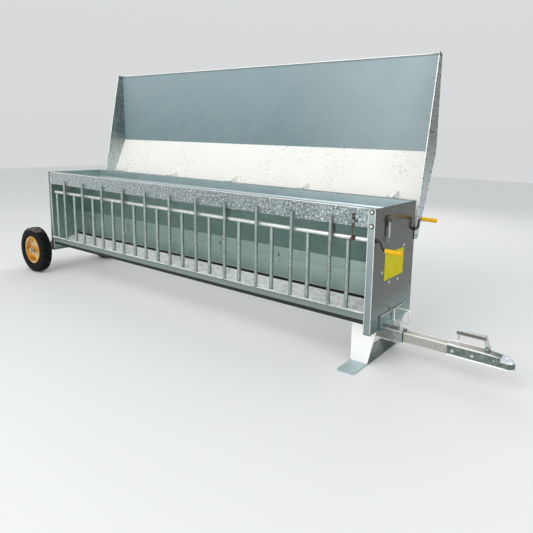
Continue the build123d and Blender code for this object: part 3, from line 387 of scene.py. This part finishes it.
# Gate rail: nearly white, with a rusty brown eye for the lock pin. On the fold beads the same finish is a
# painted highlight.
rail_zinc = galvanised(
    "bright_galvanised_rail", dark="#D8DBD9", light="#F0F1EF", streak="#F6F6F4",
    patch_mm=24.0, rough=0.36, tilt=0.04, speck_mm=8.0, speck=0.10,
    places=(lock_eye,),
)
print("nodes in the bars' finish", len(bar_zinc.node_tree.nodes))

# %% Plate finishes
legs_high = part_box("stand_legs")[1]
# Between the legs the base bar is painted dark: painted shade under the body.
shaded_base_middle = (("Y", 0.0, legs_high.y - 4 * MM),), "#5D6966"
# Brackets of thick plate: a plain middle grey with a coarse skin.
heavy_zinc = galvanised(
    "hot_dip_galvanised_plate", dark="#8A8E8A", light="#A5A9A5", streak="#B5B8B4",
    patch_mm=20.0, rough=0.48, tilt=0.08, speck_mm=9.0, speck=0.30,
)
# Base bar: pale at its ends, where light falls, and painted dark between the legs for the shade under the
# body.
base_zinc = galvanised(
    "hot_dip_galvanised_base_bar", dark="#A2B4B7", light="#B8C9CC", streak="#C6D4D6",
    patch_mm=20.0, rough=0.50, tilt=0.08, speck_mm=9.0, speck=0.25, metallic=0.50,
    places=(shaded_base_middle,),
)
# Stand leg and lid hinge arms: zinc painted nearly white for the sky's light that it catches, which hardly
# mirrors anything.
leg_zinc = galvanised(
    "bright_galvanised_leg", dark="#F5F5F2", light="#F8F8F6", streak="#FAFAF8",
    patch_mm=30.0, rough=0.60, tilt=0.04, speck_mm=9.0, speck=0.06, metallic=0.12,
)
print("nodes in the base bar's finish", len(base_zinc.node_tree.nodes))

# %% [markdown]
# ## Paint, plating, vinyl, rubber
# The small parts each have a finish of their own: paint, a plated coat, dipped vinyl, moulded rubber. What
# they share is one colour that drifts towards a worn one in soft patches, and a grain that can be felt but
# hardly seen. So one function makes them all, and each starts from typical values for its material.

# %% Coated finish
WEAR = {"From Min": 0.45, "From Max": 0.75}
DULLING = {"From Min": 0.3, "From Max": 0.7}
WEAR_ROUGH = (-0.06, 0.08)
# The real grain of paint and vinyl is finer than this. It is drawn as coarse as it needs to show close up.
GRAIN_MM = 1000.0 / 900.0
GRAIN_DEPTH = 1 * MM


def coated(name, base, worn, wear_mm, rough, metallic=0.0, grain=0.05, coat=0.0, gloss=0.5, places=()):
    """A base colour, a worn colour over it in soft patches, then places with a colour of their own. The same
    patches make the surface duller, and a fine noise gives the grain its height."""
    made, tree, surface, place = blank(name)
    soft = {"Vector": place, "Scale": PER_METRE / wear_mm, "Detail": 5.0}
    patches = add(tree, "ShaderNodeTexNoise", soft).outputs[0]
    layers = [(add(tree, "ShaderNodeMapRange", {"Value": patches, **WEAR}).outputs[0], worn)]
    layers += [(box_mask(tree, place, spans), web) for spans, web in places]
    colour = shade(base)
    for share, web in layers:
        mixed = {0: share, 6: colour, 7: shade(web)}
        colour = add(tree, "ShaderNodeMix", mixed, data_type="RGBA").outputs[2]
    tree.links.new(colour, surface.inputs["Base Color"])
    surface.inputs["Metallic"].default_value = metallic
    surface.inputs["Coat Weight"].default_value = coat
    surface.inputs["Specular IOR Level"].default_value = gloss
    dull = {"Value": patches, "To Min": rough + WEAR_ROUGH[0], "To Max": rough + WEAR_ROUGH[1], **DULLING}
    tree.links.new(add(tree, "ShaderNodeMapRange", dull).outputs[0], surface.inputs["Roughness"])
    small = {"Vector": place, "Scale": PER_METRE / GRAIN_MM, "Detail": 2.0}
    fine = add(tree, "ShaderNodeTexNoise", small).outputs[0]
    relief = {"Height": fine, "Strength": grain, "Distance": GRAIN_DEPTH}
    tree.links.new(add(tree, "ShaderNodeBump", relief).outputs[0], surface.inputs["Normal"])
    return made


# %% [markdown]
# ## Towing gear
# The drawbar is a square tube in a larger one, and both have painted highlights along their upper corners.
# The coupling is a pressed shell with a dull top, shoulders painted bright as highlights and a pale nose.
# Bright edges could be found by the mesh's pointiness, which needs a dense mesh. These tubes have few points,
# so a box along each edge marks it instead, measured from the tube itself.


# %% Tube finishes
def top_edges(node, inward, down):
    """Box round the two upper long edges of a tube, from a little inside its corner to a margin outside."""
    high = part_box(node)[1]
    return ("Y", high.y - inward, high.y + MARGIN), ("Z", high.z - down, high.z + MARGIN)


receiver_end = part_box("receiver_tube")[1].x
tube_mouth = (("X", receiver_end - 3.5 * MM, receiver_end + MARGIN),), "#1E2324"
# Drawbar: weathered zinc, warm grey and finely grained, with painted highlights along its upper corners.
drawbar_zinc = coated(
    "weathered_drawbar_tube", base="#A5A49D", worn="#C6C5BE",
    wear_mm=9.0, rough=0.50, metallic=0.6, grain=0.10,
    places=((top_edges("drawbar_tube", 4.5 * MM, 5 * MM), "#F2F0EA"),),
)
# Receiver: smoother zinc, a cool grey, with painted highlights along its upper corners and a dark mouth where
# the drawbar enters.
receiver_zinc = coated(
    "grey_receiver_tube", base="#98A09E", worn="#B3B9B6",
    wear_mm=16.0, rough=0.42, metallic=0.7, grain=0.01,
    places=((top_edges("receiver_tube", 4 * MM, 5 * MM), "#E8ECEA"), tube_mouth),
)
print("receiver's mouth at", round(receiver_end, 3))

# %% Coupling finishes
# The crown of the shell, its two shoulders, its nose and its lower flange.
coupling_top = (("X", 0.40, 0.69), ("Z", 0.1675, 0.1720)), "#948F89"
coupling_edge = (("X", 0.40, 0.69), ("Y", 0.0245, 0.0320), ("Z", 0.1630, 0.1720)), "#F2F4F1"
coupling_nose = (("X", 0.682, 0.760), ("Z", 0.1430, 0.1720)), "#D9E0E6"
flange_edge = (("Z", 0.100, 0.1185),), "#E9ECE8"
# Coupling: dark green-grey plating, with painted highlights on its shoulders, a pale nose and a bright lower
# flange.
coupling_zinc = coated(
    "plated_coupling", base="#66726C", worn="#87928B",
    wear_mm=22.0, rough=0.30, metallic=0.7, grain=0.01,
    places=(coupling_top, coupling_edge, coupling_nose, flange_edge),
)
handle_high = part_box("coupling_handle")[1]
handle_side = (
    ("Y", handle_high.y - 0.8 * MM, handle_high.y + MARGIN),
    ("Z", handle_high.z - 20.5 * MM, handle_high.z - 6 * MM),
)
# Handle: bright zinc plate, with a brownish shadow line along the side of its grip.
handle_plate = coated(
    "bright_zinc_plated_handle", base="#B4B8B8", worn="#D9DBDA",
    wear_mm=14.0, rough=0.34, metallic=0.6, grain=0.004,
    places=((handle_side, "#6F6B66"),),
)
print("nodes in the coupling's finish", len(coupling_zinc.node_tree.nodes))

# %% [markdown]
# ## Small parts
# Cranks, fasteners, grips, wheels and the label are bought or painted parts. Their patches of wear follow
# the size of the part, from 8 mm on the catch to 70 mm on the rims, so that each part shows a few of them.

# %% Painted and plated finishes
# Crank paint: thin gloss black, slightly grey where hands have worn it.
black_paint = coated(
    "black_painted_rod", base="#17171A", worn="#2B2A2B",
    wear_mm=22.0, rough=0.38, coat=0.2,
)
# Bright zinc plate: pale and shiny, with small cloudy patches.
bright_plate = coated(
    "bright_zinc_plated_fastener", base="#B6BABA", worn="#D6D8D7",
    wear_mm=9.0, rough=0.32, metallic=0.7, grain=0.004,
)
# Steel of the catch: dull brown with a film of rust.
catch_steel = coated(
    "dull_brown_catch", base="#3E3A35", worn="#5A554D",
    wear_mm=8.0, rough=0.50, metallic=0.4,
)
# Lock pin: bare rod, rusted to a matt, rough brown.
rusty_rod = coated("brown_rusted_rod", base="#4B3A33", worn="#625048", wear_mm=12.0, rough=0.66, grain=0.35)
# Rim: gold passivated zinc, a warm yellow metal with pale, faded patches.
gold_rim = coated(
    "gold_passivated_rim", base="#CC962C", worn="#EBD6A4",
    wear_mm=70.0, rough=0.34, metallic=0.55,
)
print("nodes in the crank's paint", len(black_paint.node_tree.nodes))

# %% Plastic and rubber finishes
# Grip: soft vinyl from a dip, a strong warm yellow with little gloss.
yellow_vinyl = coated(
    "yellow_dipped_vinyl", base="#EBB600", worn="#D79E00",
    wear_mm=30.0, rough=0.42, grain=0.12, gloss=0.3,
)
# Label: a thin plate with a flat, greenish yellow film.
yellow_label = coated(
    "plain_yellow_label", base="#D3C900", worn="#C6BB00",
    wear_mm=60.0, rough=0.70, metallic=0.5,
)
tread_top = (("Y", 0.300, 0.356), ("Z", 0.346, 0.40)), "#5B5550"
# Tyre: moulded rubber, almost black and matt, and paler grey-brown on the top of its tread.
tyre_rubber = coated(
    "moulded_tyre_rubber", base="#08090A", worn="#141414",
    wear_mm=28.0, rough=0.72, grain=0.30, gloss=0.2,
    places=(tread_top,),
)
# Bush: off-white nylon, waxy and even.
nylon = coated("off_white_nylon_bush", base="#DDDCD2", worn="#CFCDC2", wear_mm=30.0, rough=0.45)
print("nodes in the tyre's finish", len(tyre_rubber.node_tree.nodes))

# %% [markdown]
# ## Giving each piece its finish
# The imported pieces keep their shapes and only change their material. Each could have a material to itself,
# but pieces cut from the same stock look alike, so they share one.

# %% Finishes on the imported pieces
stock = {
    pan_zinc: ["trough_pan"],
    wall_zinc: ["front_hopper_wall", "rear_hopper_wall"],
    slide_zinc: ["front_slide", "rear_slide"],
    trim_zinc: ["front_trim", "rear_trim", "lock_lugs"],
    end_zinc: ["hitch_end_plate", "end_sill"],
    far_end_zinc: ["wheel_end_plate"],
    roof_zinc: ["lid_panel"],
    gable_zinc: ["lid_gable_hitch", "lid_gable_wheel"],
    bar_zinc: ["front_bars", "rear_bars"],
    gate_zinc: ["front_gate_bars", "rear_gate_bars"],
    rail_zinc: ["front_gate_rail", "rear_gate_rail", "end_plate_bolts", "post_bolts", "tow_pin"],
    leg_zinc: ["stand_legs", "lid_hinge_arms"],
    heavy_zinc: ["gate_guides", "hinge_leaves_body", "stand_bridge", "axle_plates"],
    base_zinc: ["stand_base"],
    receiver_zinc: ["receiver_tube"],
    drawbar_zinc: ["drawbar_tube"],
    coupling_zinc: ["coupling_housing", "coupling_jaw"],
    catch_steel: ["catch_plate"],
    handle_plate: ["coupling_handle", "safety_catch"],
    black_paint: ["front_crank_rod", "rear_crank_rod", "crank_bearings"],
    bright_plate: [
        "lid_catch", "hinge_pins", "front_slide_clamps", "rear_slide_clamps",
        "coupling_bolts", "coupling_pins", "axle", "axle_fixings",
    ],
    yellow_vinyl: ["front_crank_grip", "rear_crank_grip"],
    yellow_label: ["label_plate"],
    gold_rim: ["front_rim", "rear_rim"],
    tyre_rubber: ["front_tyre", "rear_tyre"],
    rusty_rod: ["front_lock_pin", "rear_lock_pin"],
    nylon: ["front_bush", "rear_bush"],
}
for finish, names in stock.items():
    for name in names:
        nodes[name].data.materials.clear()
        nodes[name].data.materials.append(finish)
bare = sorted(set(nodes) - {name for names in stock.values() for name in names})
print("finishes", len(stock), "pieces with one", len(nodes) - len(bare), "without", bare)

# %% [markdown]
# ## Turned shapes
# Rivets, weld beads, grips and rolled edges are all shapes of revolution: a profile carried round an axis.
# Blender's Screw modifier could turn each one, but there are many copies of a few shapes. So a profile
# gives the distance along the axis and the radius, its points and the angles round the axis make a grid,
# and the whole grid is worked out at once, for every copy of the shape.

# %% Mesh from grids
MERGE = 1e-6  # points of a grid that meet at a pole become one


def skin(name, points, finish, body, ring=False):
    """Mesh from grids of points (copies, profile steps, steps round the axis); doubled points merge."""
    copies, steps, around, _ = points.shape
    rows = np.arange(steps if ring else steps - 1)[:, None]
    columns = np.arange(around)[None, :]
    after_row, after_column = (rows + 1) % steps, (columns + 1) % around
    corners = [(rows, columns), (rows, after_column), (after_row, after_column), (after_row, columns)]
    quads = np.stack(np.broadcast_arrays(*[r * around + c for r, c in corners]), -1).reshape(-1, 4)
    offsets = np.arange(copies)[:, None, None] * steps * around
    mesh = bpy.data.meshes.new(name)
    mesh.from_pydata(points.reshape(-1, 3).tolist(), [], (quads[None] + offsets).reshape(-1, 4).tolist())
    cleaned = bmesh.new()
    cleaned.from_mesh(mesh)
    bmesh.ops.remove_doubles(cleaned, verts=cleaned.verts, dist=MERGE)
    bmesh.ops.recalc_face_normals(cleaned, faces=cleaned.faces)
    cleaned.to_mesh(mesh)
    cleaned.free()
    mesh.polygons.foreach_set("use_smooth", np.ones(len(mesh.polygons), bool))
    mesh.materials.append(finish)
    piece = bpy.data.objects.new(name, mesh)
    bpy.context.scene.collection.objects.link(piece)
    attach(piece, body)
    return piece


# %% Profiles and grids
UP = (0, 0, 1)


def turned(profile, starts, axis, around=16):
    """Grid of a profile (along, radius) in metres: each start point, plus along times the axis, plus radius
    times a spoke that goes once round the axis."""
    along, radius = np.asarray(profile, float).T
    axis = np.asarray(axis, float) / np.linalg.norm(axis)
    side = np.cross(axis, (0.0, 0.0, 1.0) if abs(axis[2]) < 0.9 else (1.0, 0.0, 0.0))
    side /= np.linalg.norm(side)
    angle = np.linspace(0, 2 * np.pi, around, endpoint=False)
    spoke = np.cos(angle)[:, None] * side + np.sin(angle)[:, None] * np.cross(axis, side)
    shape = along[:, None, None] * axis + radius[:, None, None] * spoke[None]
    return np.asarray(starts, float).reshape(-1, 1, 1, 3) + shape


def capsule(length, radius, ripple=0.0, waves=0, steps=24):
    """Profile of a round-ended rod: a constant radius that follows a quarter circle at each end, times a
    sine ripple that makes the scales of a weld bead."""
    share = np.linspace(0, 1, steps)
    into_end = ((np.abs(share - 0.5) * length - length / 2 + radius) / radius).clip(0)
    end = np.sqrt(np.clip(1 - into_end**2, 0, 1))
    bump = 1 + ripple * np.sin(2 * np.pi * waves * share)
    return np.stack([share * length, radius * end * bump], -1)


def rolled_edge(first, last, radius):
    """Grid of a round-ended bead between two points: a long capsule turned round the line through them."""
    run = np.asarray(last) - np.asarray(first)
    return turned(capsule(np.linalg.norm(run), radius, steps=40), first, run, around=12)


print("points of a rod's grid", turned(capsule(100 * MM, 5 * MM), (0, 0, 0), UP).shape)

# %% [markdown]
# ## Welds on the bars
# Each fixed bar stands on the rolled rail and laps over the trim. It is welded all round its foot and down
# both sides of the lap. The short bars are welded under the gate rail. A weld is a row of overlapping
# frozen drops. A bump pattern would leave its outline straight, so the beads are shapes of their own: the
# straight ones have a rippled outline, and the round ones are a small circle carried round the bar.

# %% Bars and bead profiles
BAYS, BAR_RADIUS, GATE_BAR_RADIUS = 12, 10 * MM, 12 * MM
bars_low, bars_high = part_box("front_bars")
gate_low, gate_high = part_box("front_gate_bars")
rail_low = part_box("front_gate_rail")[0]
bay = (HITCH_X - WHEEL_X) / BAYS
fixed_x = WHEEL_X + bay * np.arange(1, BAYS)
short_x = np.linspace(gate_low.x + GATE_BAR_RADIUS, gate_high.x - GATE_BAR_RADIUS, BAYS)


def ring_bead(bar_radius, bead_radius=2.4 * MM, proud=0.6 * MM, sides=10):
    """Profile of a bead round a bar: a small circle whose centre stands just outside the bar's radius."""
    turn = np.linspace(0, 2 * np.pi, sides, endpoint=False)
    return np.stack([bead_radius * np.sin(turn), bar_radius + proud + bead_radius * np.cos(turn)], -1)


def row(x, y, z):
    """Points at each x of a row, at one y and z."""
    return np.stack([x, np.full_like(x, y), np.full_like(x, z)], -1)


print("fixed bars", len(fixed_x), "gate bars", len(short_x), "bay", round(bay, 3))

# %% Weld beads
LAP_LENGTH, LAP_RADIUS, LAP_RIPPLE, LAP_SCALES = 32 * MM, 2.6 * MM, 0.16, 7
LAP_ASIDE, LAP_PROUD, LAP_RISE = 9 * MM, 1.5 * MM, 1.2 * MM
FOOT_RISE, RAIL_DROP = 1.5 * MM, 0.5 * MM
bar_y = -(bars_low.y + bars_high.y) / 2
lap_bead = capsule(LAP_LENGTH, LAP_RADIUS, LAP_RIPPLE, LAP_SCALES)
lap_x = np.concatenate([fixed_x - LAP_ASIDE, fixed_x + LAP_ASIDE])
for side, sign in (("front", -1), ("rear", 1)):
    feet = turned(ring_bead(BAR_RADIUS), row(fixed_x, sign * bar_y, bars_low.z + FOOT_RISE), UP)
    skin(f"{side}_foot_welds", feet, bar_zinc, "feeder", ring=True)
    laps = turned(lap_bead, row(lap_x, sign * (TRIM_Y + LAP_PROUD), TRIM_FOOT + LAP_RISE), UP, around=10)
    skin(f"{side}_lap_welds", laps, bar_zinc, "feeder")
    tops = turned(ring_bead(GATE_BAR_RADIUS), row(short_x, sign * RAIL_Y, rail_low.z - RAIL_DROP), UP)
    skin(f"{side}_gate_welds", tops, bar_zinc, f"{side}_gate", ring=True)
print("weld beads", 2 * (len(fixed_x) + len(lap_x) + len(short_x)))

# %% [markdown]
# ## Roof edges and rivets
# The gable plates are folded over along their free edge, so that nobody is cut on them, and riveted to the
# roof sheet. The fold is a thin round bead along the edge. The rivets are low domes in a row. Both are
# placed with the lid shut, as it was made, and then swung back about the hinge axis, which the lid's joint
# gives.

# %% Lid section
HINGE = np.array(joints["lid_hinge"]["pos_m"])
OPEN = np.radians(joints["lid_hinge"]["range_deg"][1])
REACHES = np.array((-0.222, 0.310, 0.861))  # rear eave, ridge and front eave, forward of the hinge
HEIGHTS = np.array((0.030, 0.141, 0.030))  # the same three, above the hinge
EDGE_HEIGHT = -0.015  # free edge of the gables


def swung(reach, height, x):
    """Point of the open lid from its shut place, reach forward of the hinge and height above it: both are
    turned about the hinge by the open angle."""
    reach, height = np.broadcast_arrays(np.asarray(reach, float), np.asarray(height, float))
    y, z = -reach, height
    back_y = y * np.cos(OPEN) + z * np.sin(OPEN)
    back_z = z * np.cos(OPEN) - y * np.sin(OPEN)
    return np.stack([np.full_like(back_y, x), HINGE[1] + back_y, HINGE[2] + back_z], -1)


print("lid depth", round(REACHES[-1] - REACHES[0], 3), "open", round(float(np.degrees(OPEN))), "degrees")

# %% Gable edges and rivets
FOLD_RADIUS, GABLE_SINK = 3.2 * MM, 1 * MM
RIVET_START, RIVET_END, RIVET_PITCH = -0.20, 0.85, 0.055
RIVET_ABOVE_EDGE, RIVET_BELOW_ROOF = 14 * MM, 12 * MM
# Rivet head: height above the plate and radius.
rivet = np.array(((2.6, 0.0), (2.4, 2.2), (1.7, 4.2), (0.6, 5.4), (0.0, 5.6), (-0.5, 0.0))) * MM
rivet_reach = np.arange(RIVET_START, RIVET_END, RIVET_PITCH)
roof_height = np.interp(rivet_reach, REACHES, HEIGHTS)
for name, face, out in (("hitch", roof_high.x, 1), ("wheel", roof_low.x, -1)):
    first, last = swung(REACHES[[0, -1]], EDGE_HEIGHT, face - out * GABLE_SINK)
    # The fold's near-white bead is a painted highlight along the gable's free edge.
    skin(f"{name}_gable_edge", rolled_edge(first, last, FOLD_RADIUS), rail_zinc, "lid")
    along_edge = swung(rivet_reach, EDGE_HEIGHT + RIVET_ABOVE_EDGE, face)
    under_roof = swung(rivet_reach, roof_height - RIVET_BELOW_ROOF, face)
    heads = turned(rivet, np.concatenate([along_edge, under_roof]), (out, 0, 0), around=10)
    # The dark brown rivet heads are partly the steel's own colour and partly painted shade: each dark dot
    # stands for a head and its shadow.
    skin(f"{name}_gable_rivets", heads, catch_steel, "lid")
print("rivets", 4 * len(rivet_reach))

# %% [markdown]
# ## Bright folds
# Wherever the sheet is folded or rolled, its edge catches the light as a bright line: along the top of the
# front trim, down the posts, over the sill and along the roof's front edge. A bevel on the sheet would be too
# fine to catch the light, so each edge gets a thin round bead, half sunk in the fold, whose near-white finish
# is a painted highlight. The bead along the rear trim is mid grey, a painted shadow line between the rear
# trim and the lid. The post bolts sit on dark washers.

# %% Fold and washer profiles
FOLD_END, FOLD_DROP, FOLD_PROUD = 4 * MM, 2 * MM, 0.5 * MM
POST_FOLD_RADIUS, POST_FOLD_END, POST_SINK, CORNER_SINK = 2.3 * MM, 2 * MM, 0.8 * MM, 1 * MM
BOLT_INSET, BOLT_DROPS = 18 * MM, (17 * MM, 88 * MM)
post_fold = capsule(TOP_Z - POST_FOOT - 2 * POST_FOLD_END, POST_FOLD_RADIUS, steps=40)
# Washer: a flat ring with a chamfered rim, height above the post and radius.
washer = np.array(((0.2, 0.0), (1.3, 0.0), (1.3, 12.5), (0.9, 13.2), (0.2, 13.2), (0.2, 0.0))) * MM
post_x = np.array(
    (HITCH_X - CORNER_SINK, HITCH_X - POST_FLANGE, WHEEL_X + CORNER_SINK, WHEEL_X + POST_FLANGE)
)
bolt_x = (HITCH_X - BOLT_INSET, WHEEL_X + BOLT_INSET)
fold_z = TOP_Z - FOLD_DROP
print("post fold length", round(post_fold[-1, 0], 3))

# %% Trim folds, post folds and washers
# The front fold's near-white bead is a painted highlight along the trim's top, the rear fold's mid grey is a
# painted shadow line between the rear trim and the lid, and the post folds are painted highlights.
for side, sign, finish in (("front", -1, rail_zinc), ("rear", 1, heavy_zinc)):
    fold_y = sign * (TRIM_Y + FOLD_PROUD)
    first, last = (WHEEL_X + FOLD_END, fold_y, fold_z), (HITCH_X - FOLD_END, fold_y, fold_z)
    skin(f"{side}_trim_fold", rolled_edge(first, last, FOLD_RADIUS), finish, "feeder")
    feet = row(post_x, sign * (POST_Y - POST_SINK), POST_FOOT + POST_FOLD_END)
    edges = turned(post_fold, feet, UP, around=10)
    skin(f"{side}_post_folds", edges, rail_zinc, "feeder")
    spots = [(x, sign * POST_Y, TOP_Z - drop) for x in bolt_x for drop in BOLT_DROPS]
    washers = turned(washer, spots, (0, sign, 0), around=20)
    skin(f"{side}_washers", washers, catch_steel, "feeder")
print("post folds", 2 * len(post_x), "washers", 2 * len(spots))

# %% Sill and eave folds
SILL_FOLD_RADIUS, SILL_SINK, SILL_END = 2 * MM, 0.8 * MM, 1 * MM
EAVE_END, EAVE_BEHIND, EAVE_DROP = 2 * MM, 14.06 * MM, 0.75 * MM
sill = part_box("end_sill")[1] - Vector((SILL_SINK, SILL_END, SILL_END))
# The sill's and the eave's near-white beads are painted highlights along those edges.
sill_edge = rolled_edge((sill.x, -sill.y, sill.z), (sill.x, sill.y, sill.z), SILL_FOLD_RADIUS)
skin("sill_fold", sill_edge, rail_zinc, "feeder")
eave_y, eave_z = roof_high.y - EAVE_BEHIND, roof_high.z - EAVE_DROP
first, last = (roof_low.x + EAVE_END, eave_y, eave_z), (roof_high.x - EAVE_END, eave_y, eave_z)
skin("roof_eave_fold", rolled_edge(first, last, FOLD_RADIUS), leg_zinc, "lid")
print("sill fold", round(2 * sill.y, 3), "eave fold", round(last[0] - first[0], 3))

# %% [markdown]
# ## Crank grips
# A dipped grip is thicker at its collar, waisted in the middle and rounded at the end, with shallow rings
# for the fingers. The rings could be separate pieces, but in dipped vinyl they run into each other, so one
# profile carried round the crank's outer arm gives everything. It takes the place of the plain grip.

# %% Grip profile
# Sizes in mm.
GRIP_LENGTH, GRIP_RADIUS, GRIP_WAIST, GRIP_MOST = 92.0, 12.2, 0.9, 13.0
RING_HEIGHT, RING_COUNT, COLLAR_HEIGHT, ROD_RADIUS = 0.45, 9, 0.75, 6.2
step = np.linspace(0, 1, 70)
# Radius in mm over shares of the length: a waist that follows half a sine, rings that follow a cosine, a
# bell-shaped collar and a quarter-round end.
waist = GRIP_RADIUS - GRIP_WAIST * np.sin(np.pi * np.clip((step - 0.08) / 0.84, 0, 1))
rings = RING_HEIGHT * np.cos(2 * np.pi * RING_COUNT * step) * (step > 0.12) * (step < 0.9)
collar = COLLAR_HEIGHT * np.exp(-(((step - 0.04) / 0.03) ** 2))
rounding = np.sqrt(np.clip(1 - ((step - 0.93) / 0.07).clip(0) ** 2, 0, 1))
radius = np.minimum((waist + rings + collar) * rounding, GRIP_MOST)
grip = np.stack([np.r_[0.0, step * GRIP_LENGTH], np.r_[ROD_RADIUS, radius]], -1) * MM
print("grip radius", round(float(radius.max()), 2), "mm")

# %% Grips
for side in ("front", "rear"):
    low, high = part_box(f"{side}_crank_grip")
    start = (low.x, (low.y + high.y) / 2, (low.z + high.z) / 2)
    ribbed = turned(grip, start, (1, 0, 0), around=28)
    piece = skin(f"{side}_ribbed_grip", ribbed, yellow_vinyl, f"{side}_crank")
    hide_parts(f"{side}_crank_grip")
print("grip length", round(high.x - low.x, 3))

# %% [markdown]
# ## Wheel details
# A valve stem comes through the rim, and a ring of bolt heads holds the disc. Both are small turned shapes.
# The four heads could be four pieces, but they ride on the wheel together, so they are one mesh. The
# wheel's joint gives the hub that they are set out from.

# %% Valves and disc bolts
BOLT_CIRCLE, BOLTS, BOLT_OUT = 50 * MM, 4, 12 * MM
VALVE_CIRCLE, VALVE_OUT = 83 * MM, 5 * MM
# Profiles from the wheel outwards: distance and radius.
valve = MM * np.array(
    ((0.0, 0.0), (0.0, 4.0), (14.0, 3.6), (15.0, 3.0), (28.0, 3.0), (29.0, 2.2), (29.0, 0.0))
)
disc_bolt = MM * np.array(
    ((0.0, 0.0), (0.0, 8.0), (1.6, 8.0), (1.8, 6.4), (6.0, 6.2), (6.8, 5.0), (6.8, 0.0))
)
bolt_turn = 2 * np.pi * np.arange(BOLTS) / BOLTS + np.pi / 4
for side, out in (("front", -1), ("rear", 1)):
    hub_x, hub_y, hub_z = joints[f"{side}_wheel_spin"]["pos_m"]
    ring_x, ring_z = hub_x + BOLT_CIRCLE * np.cos(bolt_turn), hub_z + BOLT_CIRCLE * np.sin(bolt_turn)
    ring = np.stack([ring_x, np.full(BOLTS, hub_y + out * BOLT_OUT), ring_z], -1)
    heads = turned(disc_bolt, ring, (0, out, 0), around=12)
    skin(f"{side}_disc_bolts", heads, bright_plate, f"{side}_wheel")
    foot = (hub_x + VALVE_CIRCLE, hub_y + out * VALVE_OUT, hub_z)
    stem = turned(valve, foot, (0, out, 0), around=12)
    skin(f"{side}_valve", stem, tyre_rubber, f"{side}_wheel")
print("disc bolts", 2 * BOLTS)

# %% [markdown]
# ## Floor and light
# A plain pale floor carries the shadow. A curved backdrop could hide its far edge, but it would stand in the
# way of the lamp at the back, so the surroundings are simply almost as pale as the floor. A broad lamp high
# in front is the sky's share: it lights the sloping half of the open roof. A weak lamp low in front reaches
# the trough under the bars, and two more fill the hitch end and the back.

# %% Floor
FLOOR_HALF, FLOOR_MIDDLE, TILES = 14.0, -1.2, 14
pale, _, surface, _ = blank("pale_studio_floor")
surface.inputs["Base Color"].default_value = shade("#E4E5E4")
surface.inputs["Roughness"].default_value = 0.85
across = np.linspace(-FLOOR_HALF, FLOOR_HALF, TILES + 1)
grid_x, grid_y = np.meshgrid(across + FLOOR_MIDDLE, across, indexing="ij")
floor_points = np.stack([grid_x, grid_y, np.zeros_like(grid_x)], -1).reshape(-1, 3)
corner = (np.arange(TILES)[:, None] * (TILES + 1) + np.arange(TILES)[None, :]).reshape(-1)
tiles = np.stack([corner, corner + TILES + 1, corner + TILES + 2, corner + 1], -1)
floor_mesh = bpy.data.meshes.new("floor")
floor_mesh.from_pydata(floor_points.tolist(), [], tiles.tolist())
floor_mesh.materials.append(pale)
floor = bpy.data.objects.new("floor", floor_mesh)
bpy.context.scene.collection.objects.link(floor)
floor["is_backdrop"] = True
print("floor", len(floor_mesh.polygons), "tiles")

# %% Surroundings
HORIZON, ZENITH, SKY_STRENGTH = "#E6E8E9", "#F2F4F5", 0.85
ZENITH_FROM = 0.9  # the sine of the height above the horizon where the upper colour is reached
world = bpy.data.worlds.new("pale_surroundings")
world.use_nodes = True
bpy.context.scene.world = world
sky = world.node_tree
direction = add(sky, "ShaderNodeTexCoord").outputs["Generated"]
height = add(sky, "ShaderNodeSeparateXYZ", {0: direction}).outputs["Z"]
rise = add(sky, "ShaderNodeMapRange", {"Value": height, "From Max": ZENITH_FROM}).outputs[0]
blend = {0: rise, 6: shade(HORIZON), 7: shade(ZENITH)}
glow = add(sky, "ShaderNodeMix", blend, data_type="RGBA").outputs[2]
sky.links.new(glow, sky.nodes["Background"].inputs["Color"])
sky.nodes["Background"].inputs["Strength"].default_value = SKY_STRENGTH
bpy.context.scene.view_settings.view_transform = "Standard"
print("surroundings", HORIZON, "to", ZENITH)

# %% Lamps
# Place, the point looked at, the size of the square in metres, and watts.
LAMPS = {
    "sky_lamp": ((-1.6, -4.6, 4.4), (-1.4, 0.2, 0.8), 4.0, 132.0),
    "front_lamp": ((-1.2, -5.0, 0.9), (-1.4, -0.2, 0.35), 3.0, 50.0),
    "end_lamp": ((4.2, -1.6, 3.0), (0.0, 0.0, 0.4), 2.0, 40.0),
    "back_lamp": ((-2.4, 4.6, 3.4), (-1.4, 0.2, 0.6), 3.0, 60.0),
}
for name, (place, target, size, watts) in LAMPS.items():
    light = bpy.data.lights.new(name, "AREA")
    light.shape = "SQUARE"
    light.size = size
    light.energy = watts
    holder = bpy.data.objects.new(name, light)
    holder.location = place
    holder.rotation_euler = (Vector(target) - Vector(place)).to_track_quat("-Z", "Y").to_euler()
    bpy.context.scene.collection.objects.link(holder)
print("lamps", len(LAMPS))

# %% [markdown]
# ## Size of what is shown
# The box round everything that is shown, the details included, is printed. The details must not make the
# feeder larger than its model.

# %% Print the visual box
low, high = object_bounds()
print("visual box", [round(v, 3) for v in (*low, *high)])
